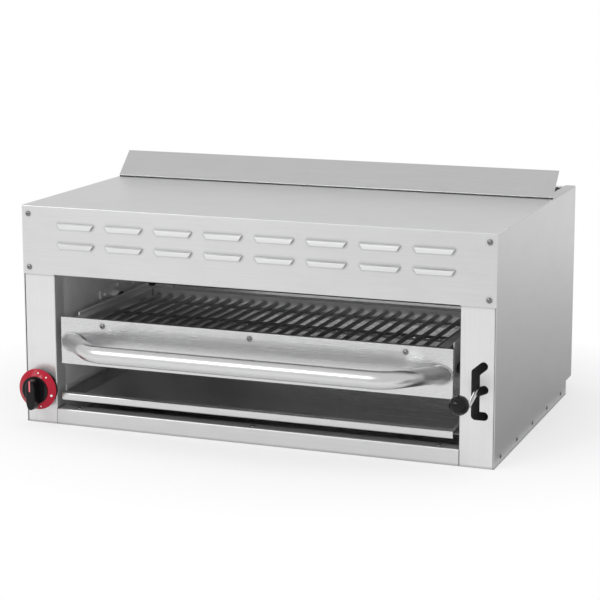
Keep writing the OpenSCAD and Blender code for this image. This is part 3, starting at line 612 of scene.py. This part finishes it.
def turned(profile, centre, axis, segments=64):
    """A lathe-turned form: (radius, distance along the axis) pairs round an axis."""
    made = bmesh.new()
    rings = []
    for radius, along in profile:
        turns = [0] if radius < ON_AXIS else full_turn(segments)
        spots = [(radius * math.cos(a), radius * math.sin(a), along) for a in turns]
        rings.append([made.verts.new(spot) for spot in spots])
    for low, high in zip(rings, rings[1:]):
        for k in range(segments):
            n = (k + 1) % segments
            if len(low) == 1 and len(high) > 1:
                made.faces.new((low[0], high[k], high[n]))
            elif len(high) == 1 and len(low) > 1:
                made.faces.new((low[k], low[n], high[0]))
            elif len(low) > 1:
                made.faces.new((low[k], low[n], high[n], high[k]))
    turn = Vector((0, 0, 1)).rotation_difference(Vector(axis).normalized()).to_matrix().to_4x4()
    bmesh.ops.transform(made, matrix=Matrix.Translation(centre) @ turn, verts=made.verts)
    bmesh.ops.recalc_face_normals(made, faces=made.faces)
    for face in made.faces:
        face.smooth = True
    return sharpened(made)


def rings_along(points, radius, segments=40, flat_ends=None, closed_run=False):
    """Rings of points round a path. flat_ends cuts both ends on a plane y = value."""
    rings = []
    side = None
    last = len(points) - 1
    for index, point in enumerate(points):
        if closed_run:
            ahead = points[(index + 1) % len(points)] - points[index - 1]
        else:
            ahead = points[min(index + 1, last)] - points[max(index - 1, 0)]
        ahead.normalize()
        if side is None:
            side = Vector((0, 0, 1)).cross(ahead)
            if side.length < 0.1:  # the path starts upright
                side = Vector((0, 1, 0)).cross(ahead)
        side = (side - ahead * side.dot(ahead)).normalized()
        up = ahead.cross(side)
        ring = [
            point + radius * (math.cos(angle) * side + math.sin(angle) * up)
            for angle in full_turn(segments)
        ]
        if flat_ends is not None and index in (0, last):
            ring = [spot + ahead * ((flat_ends - spot.y) / ahead.y) for spot in ring]
        rings.append(ring)
    return rings


def islands(node):
    """Lowest and highest corner of each separate solid of a node."""
    source = bmesh.new()
    source.from_mesh(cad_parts[node].data)
    bmesh.ops.remove_doubles(source, verts=source.verts, dist=SAME_POINT)
    left = set(source.verts)
    boxes = []
    while left:
        reach = [left.pop()]
        points = []
        while reach:
            vert = reach.pop()
            points.append(vert.co.copy())
            for edge in vert.link_edges:
                other = edge.other_vert(vert)
                if other in left:
                    left.remove(other)
                    reach.append(other)
        low = Vector([min(p[i] for p in points) for i in range(3)])
        high = Vector([max(p[i] for p in points) for i in range(3)])
        boxes.append((low, high))
    source.free()
    return sorted(boxes, key=lambda box: (round(box[0].x, 4), round(box[0].z, 4), box[0].y))


# A screw's shank as a share of its head's radius
SHANK_SHARE = 0.42
# Shares of the head's radius and height, from its rim over the dome into the round recess
HEAD_PROFILE = (
    (1, 0),
    (1, 0.22),
    (0.9, 0.52),
    (0.7, 0.8),
    (0.46, 0.97),
    (0.36, 1),
    (0.3, 0.45),
    (0, 0.3),
)


def screw_heads(node, out, head):
    """Domed screws with a round driving recess, one in the place of each CAD screw."""
    out = Vector(out)
    axis = [abs(c) for c in out].index(1)
    across = (axis + 1) % 3
    parts = []
    for low, high in islands(node):
        tip, foot = (high, low) if sum(out) > 0 else (low, high)
        radius = (high[across] - low[across]) / 2
        shank_r = SHANK_SHARE * radius
        shank = abs(tip[axis] - foot[axis]) - head
        seat = (low + high) / 2
        seat[axis] = tip[axis] - head * out[axis]
        profile = [(0, -shank), (shank_r, -shank), (shank_r, 0)]
        profile += [(share * radius, rise * head) for share, rise in HEAD_PROFILE]
        parts.append(turned(profile, seat, out, 28))
    return joined(parts)


# ---------------------------------------------------------------- operators


# The camera: lens in mm, shift, place in metres, and yaw, pitch and roll in degrees
CAMERA_LENS = 112.539
CAMERA_SHIFT = -0.1
CAMERA_PLACE = (1.25737, -3.34736, 0.95475)
CAMERA_TURNS = (-20.8231, 9.9467, -0.0809)

# Each lamp's name, place, the point it faces, its width, height and watts
LAMPS = (
    ("key", (-2.6, -2.9, 2.7), (0, 0, 0.25), 1.6, 1.6, 27),
    ("top", (0.2, -0.6, 3.0), (0, 0, 0.3), 2.6, 2.6, 18),
    ("fill", (1.5, -3.4, 0.8), (0, -0.1, 0.2), 2.4, 1.2, 32),
    ("side", (1.9, 3.2, 1.2), (0.8, 1.8, 0.0), 1.6, 1.2, 24),
    ("wash", (-1.1, -2.45, 1.4), (-1.1, -2.451, 0.0), 1.0, 0.8, 13),
    ("spark", (-0.9, -3.2, 2.2), (0, 0, 0.2), 0.4, 0.4, 16),
)
# The lamps that the steel mirrors
MIRRORED_LAMPS = ("key", "spark")

# The floor's low and high corner and its height
FLOOR = ((-14, -14), (14, 14), -0.0006)
# The oval in which the floor turns from shaded to white: its middle's y and its half axes
SHADED_MIDDLE_Y = 0.05
SHADED_REACH = (0.95, 0.85)
# Share of pure white under the melter, and in what the steel mirrors of the far floor
FLOOR_GLOW = 0.55
FLOOR_MIRRORED = 0.5

# Each card's name, low and high corner, material, and tone in front and behind. The cards are
# painted reflections: sheets that only the steel's reflections see, and that darken what it
# mirrors. The side card stands for the floor's shade beside the melter, darker in front and
# paler behind.
CARDS = (
    ("front_card", (-2.6, -1.8), (1.6, -1.34), "dark_reflection_card", 0.22, 0.22),
    ("right_card", (-0.65, -3.2), (1.8, -1.82), "pale_reflection_card", 0.5, 0.5),
    ("side_card", (0.47, -0.5), (2.4, 1.7), "floor_shade_reflection_card", 0.4, 0.85),
)
CARD_HEIGHT = 0.002
# Where a card's tone starts to change, and the length over which it does
CARD_START_Y, CARD_CHANGE = -0.4, 2.0

# Strength of the world's light, and how much of its white the steel mirrors
WORLD_LIGHT = 0.5
MIRRORED_WHITE = 0.42


class MELTER_OT_studio(bpy.types.Operator):
    """Camera, floor, lamps and world"""

    bl_idname = "melter.studio"
    bl_label = "Studio"

    def execute(self, context):
        scene = context.scene
        scene.view_settings.view_transform = "Standard"
        self.set_camera(scene)
        floor = self.floor_material(scene.melter_colours.studio_floor)
        self.lay_sheet(scene, "floor", *FLOOR, floor)
        for name, low, high, finish, tone, far_tone in CARDS:
            paper = self.card_material(finish, tone, far_tone)
            card = self.lay_sheet(scene, name, low, high, CARD_HEIGHT, paper)
            card.visible_camera = False
            card.visible_diffuse = False
            card.visible_shadow = False
        self.light_world(scene)
        for lamp in LAMPS:
            self.hang_lamp(scene, *lamp)
        return {"FINISHED"}

    def set_camera(self, scene):
        """The photograph's view of the melter."""
        data = bpy.data.cameras.new("camera")
        data.lens = CAMERA_LENS
        data.sensor_width = 36
        data.shift_y = CAMERA_SHIFT
        data.clip_end = 60
        camera = bpy.data.objects.new("camera", data)
        scene.collection.objects.link(camera)
        yaw, pitch, roll = (math.radians(a) for a in CAMERA_TURNS)
        level = math.cos(pitch)
        ahead = Vector((math.sin(yaw) * level, math.cos(yaw) * level, -math.sin(pitch)))
        right = Vector((math.cos(yaw), -math.sin(yaw), 0))
        up = right.cross(ahead)
        right, up = (
            math.cos(roll) * right + math.sin(roll) * up,
            -math.sin(roll) * right + math.cos(roll) * up,
        )
        turn = Matrix((right, up, -ahead)).transposed().to_4x4()
        camera.matrix_world = Matrix.Translation(CAMERA_PLACE) @ turn
        scene.camera = camera

    def hang_lamp(self, scene, name, place, aim, width, height, power):
        """A soft rectangular lamp that faces a point."""
        light = bpy.data.lights.new(name, "AREA")
        light.shape = "RECTANGLE"
        light.size = width
        light.size_y = height
        light.energy = power
        lamp = bpy.data.objects.new(name, light)
        lamp.location = place
        lamp.rotation_mode = "QUATERNION"
        lamp.rotation_quaternion = (Vector(aim) - Vector(place)).to_track_quat("-Z", "Y")
        lamp.visible_glossy = name in MIRRORED_LAMPS
        scene.collection.objects.link(lamp)

    def lay_sheet(self, scene, name, low, high, height, finish):
        """A flat sheet of the studio, which isn't part of the melter."""
        mesh = bpy.data.meshes.new(name)
        corners = ((low[0], low[1]), (high[0], low[1]), (high[0], high[1]), (low[0], high[1]))
        mesh.from_pydata([(x, y, 0) for x, y in corners], [], [(0, 1, 2, 3)])
        mesh.materials.append(finish)
        sheet = bpy.data.objects.new(name, mesh)
        sheet.location.z = height
        scene.collection.objects.link(sheet)
        return sheet

    def floor_material(self, colour):
        """Pale floor that keeps the melter's shadow and turns white away from it."""
        f = material("studio_floor")
        tone = f.between(f.noise(2.0), tuple(colour), shade(colour, 0.98))
        lit = f.add("ShaderNodeBsdfDiffuse", {}, {"Color": tone})
        glow = f.add("ShaderNodeEmission", {}, {"Color": (1, 1, 1), "Strength": 1.0})
        across = f.axis("X") / SHADED_REACH[0]
        along = (f.axis("Y") - SHADED_MIDDLE_Y) / SHADED_REACH[1]
        away = (across * across + along * along) ** 0.5
        far_off = f.ramp(away, ((0.5, 0.0), (0.9, 1.0)))
        seen = f.ray("Camera") + f.ray("Transmission")
        white = seen * (FLOOR_GLOW + far_off * (1 - FLOOR_GLOW))
        white = white + f.ray("Glossy") * far_off * FLOOR_MIRRORED
        mixed = f.add("ShaderNodeMixShader", {}, {0: white, 1: lit, 2: glow})
        f.add("ShaderNodeOutputMaterial", {}, {"Surface": mixed})
        return f.owner

    def card_material(self, name, tone, far_tone):
        """Painted reflection: paper that only reflections see, from one tone in front to another
        behind.
        """
        f = material(name)
        back = f.ramp((f.axis("Y") - CARD_START_Y) / CARD_CHANGE, ((0.0, 0.0), (1.0, 1.0)))
        grey = f.between(back, [tone] * 3, [far_tone] * 3)
        grain = f.between(f.noise(3.0) * 0.2, grey, (0.9, 0.9, 0.9))
        lit = f.add("ShaderNodeBsdfDiffuse", {}, {"Color": grain})
        f.add("ShaderNodeOutputMaterial", {}, {"Surface": lit})
        return f.owner

    def light_world(self, scene):
        """Soft light on the melter, behind which the camera sees white."""
        scene.world = bpy.data.worlds.new("studio")
        f = Finish(scene.world)
        soft = f.add("ShaderNodeBackground", {}, {"Color": (1, 1, 1), "Strength": WORLD_LIGHT})
        white = f.add("ShaderNodeBackground", {}, {"Color": (1, 1, 1), "Strength": 1.0})
        share = f.ray("Camera")
        for other in (f.ray("Transmission"), f.ray("Glossy") * MIRRORED_WHITE):
            share = f.add("ShaderNodeMath", {"operation": "MAXIMUM"}, {0: share, 1: other})
        mixed = f.add("ShaderNodeMixShader", {}, {0: share, 1: soft, 2: white})
        f.add("ShaderNodeOutputWorld", {}, {"Surface": mixed})


class MELTER_OT_body(bpy.types.Operator):
    """Outer sheets, posts, rail and deflector"""

    bl_idname = "melter.body"
    bl_label = "Body sheets"

    def execute(self, context):
        edge = context.scene.melter_sizes.edge_round
        for node, finish in (
            ("base_pan", "side"),
            ("left_side_panel", "side"),
            ("right_side_panel", "side"),
            ("rear_panel", "front"),
            ("top_panel", "top"),
            ("front_valance", "front"),
            ("left_post", "post"),
            ("right_post", "post"),
            ("bottom_rail", "rail_front"),
            ("flue_deflector", "flue"),
        ):
            coat(node, finish, edge)
        return {"FINISHED"}


class MELTER_OT_cavity(bpy.types.Operator):
    """Liners, ceiling baffle, runners and pivot bushes"""

    bl_idname = "melter.cavity"
    bl_label = "Cavity"

    def execute(self, context):
        edge = context.scene.melter_sizes.edge_round
        for node, finish in (
            ("left_liner", "liner"),
            ("right_liner", "liner"),
            ("rear_liner", "rear"),
            ("ceiling_baffle", "burner"),
            ("tray_runners", "rail"),
            ("pivot_bushes", "rail"),
        ):
            coat(node, finish, edge)
        return {"FINISHED"}


class MELTER_OT_burners(bpy.types.Operator):
    """Burner boxes, tiles, frames, screens, tubes and rails"""

    bl_idname = "melter.burners"
    bl_label = "Burners"

    def execute(self, context):
        edge = context.scene.melter_sizes.edge_round
        coat("burner_rails", "burner", edge)
        coat("burner_plenums", "burner", edge)
        coat("tile_frames", "burner", edge)
        coat("ceramic_tiles", "tile")
        coat("burner_screens", "rod")
        coat("venturi_tubes", "iron")
        return {"FINISHED"}


class MELTER_OT_gas_line(bpy.types.Operator):
    """Inlet pipe, valve, manifold, jets and pilot"""

    bl_idname = "melter.gas_line"
    bl_label = "Gas line"

    def execute(self, context):
        edge = context.scene.melter_sizes.edge_round
        coat("gas_inlet_pipe", "pipe", edge)
        coat("gas_manifold", "pipe")
        coat("gas_valve", "brass", edge)
        coat("gas_jets", "brass", edge)
        coat("pilot_burner", "brass")
        return {"FINISHED"}


class MELTER_OT_fasteners(bpy.types.Operator):
    """Screws of the valance, the sides, the rail and the rack's panel"""

    bl_idname = "melter.fasteners"
    bl_label = "Screws"

    def execute(self, context):
        for node, out, head, body in (
            ("valance_screws", (0, -1, 0), 0.003, "cabinet"),
            ("rail_screws", (0, 0, 1), 0.0024, "cabinet"),
            ("rack_screws", (0, -1, 0), 0.003, "rack"),
        ):
            made = screw_heads(node, out, head)
            piece_from(node + "_heads", made, "screw", body, (node,))
        coat("side_screws", "screw")
        return {"FINISHED"}


class MELTER_OT_lift(bpy.types.Operator):
    """Arms, shafts, carriage and pins of the rack's lift"""

    bl_idname = "melter.lift"
    bl_label = "Rack lift"

    def execute(self, context):
        edge = context.scene.melter_sizes.edge_round
        for node in ("front_arm_left", "front_arm_right", "lever_yoke", "rear_arms"):
            coat(node, "iron", edge)
        for node in ("lever_shaft", "rear_cross_shaft"):
            coat(node, "iron")
        coat("carriage_rails", "rail", edge)
        coat("carriage_ties", "rail", edge)
        coat("carriage_pins", "screw")
        coat("yoke_pin", "screw")
        return {"FINISHED"}


class MELTER_OT_rack(bpy.types.Operator):
    """Frame, grate and front panel of the rack"""

    bl_idname = "melter.rack"
    bl_label = "Rack"

    def execute(self, context):
        edge = context.scene.melter_sizes.edge_round
        coat("rack_frame", "rim", edge)
        coat("rack_grate", "rod", edge)
        coat("rack_front_panel", "rack", edge)
        return {"FINISHED"}


class MELTER_OT_handle(bpy.types.Operator):
    """Bent tube handle with its weld beads"""

    bl_idname = "melter.handle"
    bl_label = "Handle"

    # Angle between a leg and the bar, and how much that lengthens the leg's cut end
    leg_angle = math.radians(45)
    slant = math.sqrt(2)
    # Height of the ripples of a bead, as a share of its reach, and their number
    ripple = 0.012
    ripples = 9
    # How far a bead stands in front of the panel
    bead_lift = 0.0005

    def execute(self, context):
        sizes = context.scene.melter_sizes
        low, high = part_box("rack_handle")
        radius = (high.z - low.z) / 2
        height = (high.z + low.z) / 2
        bar_y = low.y + radius
        panel_y = high.y
        # Where a leg's middle line meets the panel: the slanted end reaches further out
        end_x = high.x - radius * self.slant
        corner = end_x - (panel_y - bar_y)
        trim = sizes.tube_bend * math.tan(self.leg_angle / 2)
        centre = Vector((corner - trim, bar_y + sizes.tube_bend, height))
        half = [Vector((end_x, panel_y, height))]
        for k in range(17):
            angle = -self.leg_angle * (1 + k / 16)
            half.append(centre + sizes.tube_bend * Vector((math.cos(angle), math.sin(angle), 0)))
        whole = half + [Vector((-p.x, p.y, p.z)) for p in reversed(half)]
        tube = lofted(rings_along(whole, radius, 48, panel_y))
        piece_from("handle_tube", tube, "tube", "rack", ("rack_handle",))
        beads = []
        for side in (-1, 1):
            path = []
            for angle in full_turn(48):
                reach = radius * (1 + self.ripple * math.sin(self.ripples * angle))
                x = side * (end_x + self.slant * reach * math.cos(angle))
                z = height + reach * math.sin(angle)
                path.append(Vector((x, panel_y - self.bead_lift, z)))
            beads.append(lofted(rings_along(path, sizes.weld_bead, 10, closed_run=True), True))
        piece_from("handle_welds", joined(beads), "weld", "rack")
        return {"FINISHED"}


class MELTER_OT_tray(bpy.types.Operator):
    """Drip tray"""

    bl_idname = "melter.tray"
    bl_label = "Drip tray"

    def execute(self, context):
        coat("drip_tray", "tray", context.scene.melter_sizes.edge_round)
        return {"FINISHED"}


class MELTER_OT_lever(bpy.types.Operator):
    """Lever rod and its ball"""

    bl_idname = "melter.lever"
    bl_label = "Lever"

    # Length of the neck past the ball, and the bevel round its end
    neck = 0.002
    bevel = 0.0008

    def execute(self, context):
        sizes = context.scene.melter_sizes
        coat("lever_rod", "chrome")
        low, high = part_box("ball_knob")
        centre = (low + high) / 2
        radius = (high.z - low.z) / 2
        rod = [v.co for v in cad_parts["lever_rod"].data.vertices]
        near = [p for p in rod if (p - centre).length < 2.2 * radius]
        if not near:
            raise RuntimeError("the lever rod doesn't reach its ball")
        towards = sum(near, Vector()) / len(near) - centre
        start = math.asin(sizes.neck_radius / radius)
        shell = []
        for k in range(33):
            angle = math.pi - (math.pi - start) * k / 32
            shell.append((max(0, radius * math.sin(angle)), radius * math.cos(angle)))
        top = radius * math.cos(start)
        shell += [
            (sizes.neck_radius, top + self.neck - self.bevel),
            (sizes.neck_radius - self.bevel, top + self.neck),
            (0, top + self.neck),
        ]
        ball = turned(shell, centre, towards, 72)
        piece_from("lever_ball", ball, "black", "lever", ("ball_knob",))
        return {"FINISHED"}


FRONT = Vector((0, -1, 0))
# Degrees clockwise from the top, and size, of each mark on the knob's skirt
DIAL_MARKS = ((8, 0.8), (40, 0.85), (106, 1.25), (164, 0.8))


def rounded(amount, power):
    """A sine or cosine raised to a power with its sign kept, which squares up a circle."""
    return math.copysign(abs(amount) ** power, amount)


class MELTER_OT_knob(bpy.types.Operator):
    """Control knob: rim, flared skirt, bowed grip, pointer and marks, with its stem"""

    bl_idname = "melter.knob"
    bl_label = "Control knob"

    # Round edge of the skirt: how far in front of the skirt's back, and its radius
    lip = 0.006
    lip_round = 0.0011
    # The hub under the grip: its depth, the round of its edge and the dish of its face
    hub_deep = 0.0035
    hub_edge = 0.001
    hub_dish = 0.0008
    # How far the hub and the grip reach into what carries them
    sink = 0.001
    # The grip: half its width, and its reach up and down in hub radii
    half_width = 0.0105
    reach_up = 0.9
    reach_down = 1.32
    # Powers that bow the grip's sides and square its ends
    side_bow = 0.8
    end_bow = 0.62
    # The pointer: half its length between its round ends, and their radius
    pointer_half = 0.0088
    pointer_radius = 0.0017

    def execute(self, context):
        sizes = context.scene.melter_sizes
        coat("push_collar", "brass", sizes.edge_round)
        coat("valve_stem", "brass", sizes.edge_round)
        low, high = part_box("knob_skirt")
        self.x, self.z = (low.x + high.x) / 2, (low.z + high.z) / 2
        rim_low, rim_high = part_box("knob_rim")
        grip_low, grip_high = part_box("knob_grip")
        rim_r = (rim_high.x - rim_low.x) / 2
        skirt_r = (high.x - low.x) / 2
        hub_r = (grip_high.x - grip_low.x) / 2
        self.add_rim(rim_r, rim_low.y, rim_high.y)
        self.add_skirt(rim_r, skirt_r, hub_r, low.y, high.y)
        self.add_grip(sizes, hub_r, grip_low.y, low.y)
        self.add_pointer(self.reach_up * hub_r / 2, grip_low.y)
        self.add_marks(sizes.mark_size, skirt_r, hub_r, low.y, high.y)
        return {"FINISHED"}

    def add_rim(self, radius, front, back):
        """Black disc between the post and the skirt."""
        hole_shade = back - front
        back_edge, front_edge = 0.0008, 0.0004
        profile = (
            (0, 0),
            (radius - back_edge, 0),
            (radius, back_edge),
            (radius, hole_shade - front_edge),
            (radius - front_edge, hole_shade),
            (0, hole_shade),
        )
        rim = turned(profile, Vector((self.x, back, self.z)), FRONT, 96)
        piece_from("knob_back_rim", rim, "black", "knob", ("knob_rim",))

    def add_skirt(self, rim_r, skirt_r, hub_r, front, back):
        """Flares from the rim to a round lip, then slopes in to the hub."""
        hole_shade = back - front
        lip, lip_round = self.lip, self.lip_round
        profile = [(0, 0), (rim_r, 0), (skirt_r - lip_round * 0.6, lip - lip_round)]
        for k in range(7):
            angle = math.radians(-35 + 95 * k / 6)
            reach, rise = lip_round * math.cos(angle), lip_round * math.sin(angle)
            profile.append((skirt_r - lip_round + reach, lip + rise))
        profile += [(hub_r + 0.001, hole_shade - 0.0008), (hub_r - 0.0012, hole_shade), (0, hole_shade)]
        skirt = turned(profile, Vector((self.x, back, self.z)), FRONT, 128)
        piece_from("knob_red_skirt", skirt, "red", "knob", ("knob_skirt",))

    def add_grip(self, sizes, hub_r, front, back):
        """Hub with a bar on it whose sides bow out, narrower towards its face."""
        tall = back - front
        hub_deep, edge, sink = self.hub_deep, self.hub_edge, self.sink
        profile = (
            (0, -sink),
            (hub_r, -sink),
            (hub_r, hub_deep - edge),
            (hub_r - edge, hub_deep),
            (0.6 * hub_r, hub_deep - self.hub_dish),
            (0, hub_deep - self.hub_dish),
        )
        hub = turned(profile, Vector((self.x, back, self.z)), FRONT, 96)

        def outline(inset, lift):
            """The bar's outline at a height over the skirt."""
            ring = []
            for angle in full_turn(72):
                reach = hub_r * (self.reach_up if math.sin(angle) > 0 else self.reach_down)
                x = (self.half_width - inset) * rounded(math.cos(angle), self.side_bow)
                z = (reach - inset) * rounded(math.sin(angle), self.end_bow)
                ring.append(Vector((self.x + x, back - lift, self.z + z)))
            return ring

        radius, draft = sizes.grip_round, sizes.grip_draft
        rings = [outline(0, hub_deep - sink), outline(draft, tall - radius)]
        for k in range(1, 7):
            angle = math.radians(90 * k / 6)
            inset = draft + radius * (1 - math.cos(angle))
            rings.append(outline(inset, tall - radius + radius * math.sin(angle)))
        grip = joined((hub, sharpened(lofted(rings), 40)))
        piece_from("knob_bar", grip, "black", "knob", ("knob_grip",))

    def add_pointer(self, middle, front):
        """Raised pill on the grip's face."""
        rings = []
        for inset, lift in ((0, -0.0003), (0.0001, 0.0004), (0.0006, 0.0008)):
            radius = self.pointer_radius - inset
            ring = []
            for angle in full_turn(28):
                end = self.pointer_half if math.sin(angle) > 0 else -self.pointer_half
                x = self.x + radius * math.cos(angle)
                z = self.z + middle + end + radius * math.sin(angle)
                ring.append(Vector((x, front - lift, z)))
            rings.append(ring)
        pill = lofted(rings)
        piece_from("knob_pointer_line", pill, "pointer", "knob", ("knob_pointer",))

    def add_marks(self, size, skirt_r, hub_r, front, back):
        """Painted dots on the skirt's sloping front."""
        hole_shade, lip = back - front, self.lip + self.lip_round
        slope = Vector((hole_shade - lip, skirt_r - hub_r)).normalized()
        middle_r, middle_y = (skirt_r + hub_r) / 2, back - (lip + hole_shade) / 2
        dots = []
        for turn, scale in DIAL_MARKS:
            angle = math.radians(90 - turn)
            outward = Vector((math.cos(angle), 0, math.sin(angle)))
            spot = Vector((self.x, middle_y, self.z)) + outward * middle_r
            radius = size * scale
            profile = ((0, -0.0004), (radius, -0.0004), (radius * 0.94, 0.0002), (0, 0.0003))
            dots.append(turned(profile, spot, outward * slope.x + FRONT * slope.y, 20))
        piece_from("knob_marks", joined(dots), "mark", "knob")


class MELTER_PT_pieces(bpy.types.Panel):
    """Lists the melter's pieces"""

    bl_idname = "MELTER_PT_pieces"
    bl_label = "Cheese melter"
    bl_space_type = "VIEW_3D"
    bl_region_type = "UI"
    bl_category = "Melter"

    def draw(self, context):
        layout = self.layout
        for group in (context.scene.melter_sizes, context.scene.melter_colours):
            for name in group.__annotations__:
                layout.prop(group, name)
        for step in STEPS:
            layout.operator(step.bl_idname)


STEPS = (
    MELTER_OT_studio,
    MELTER_OT_body,
    MELTER_OT_cavity,
    MELTER_OT_burners,
    MELTER_OT_gas_line,
    MELTER_OT_fasteners,
    MELTER_OT_lift,
    MELTER_OT_rack,
    MELTER_OT_handle,
    MELTER_OT_tray,
    MELTER_OT_lever,
    MELTER_OT_knob,
)
CLASSES = (MelterSizes, MelterColours, *STEPS, MELTER_PT_pieces)


def register():
    for cls in CLASSES:
        bpy.utils.register_class(cls)
    bpy.types.Scene.melter_sizes = PointerProperty(type=MelterSizes)
    bpy.types.Scene.melter_colours = PointerProperty(type=MelterColours)


def unregister():
    del bpy.types.Scene.melter_colours
    del bpy.types.Scene.melter_sizes
    for cls in reversed(CLASSES):
        bpy.utils.unregister_class(cls)


def main():
    register()
    for step in STEPS:
        group, name = step.bl_idname.split(".")
        getattr(getattr(bpy.ops, group), name)()


if __name__ == "__main__":
    main()
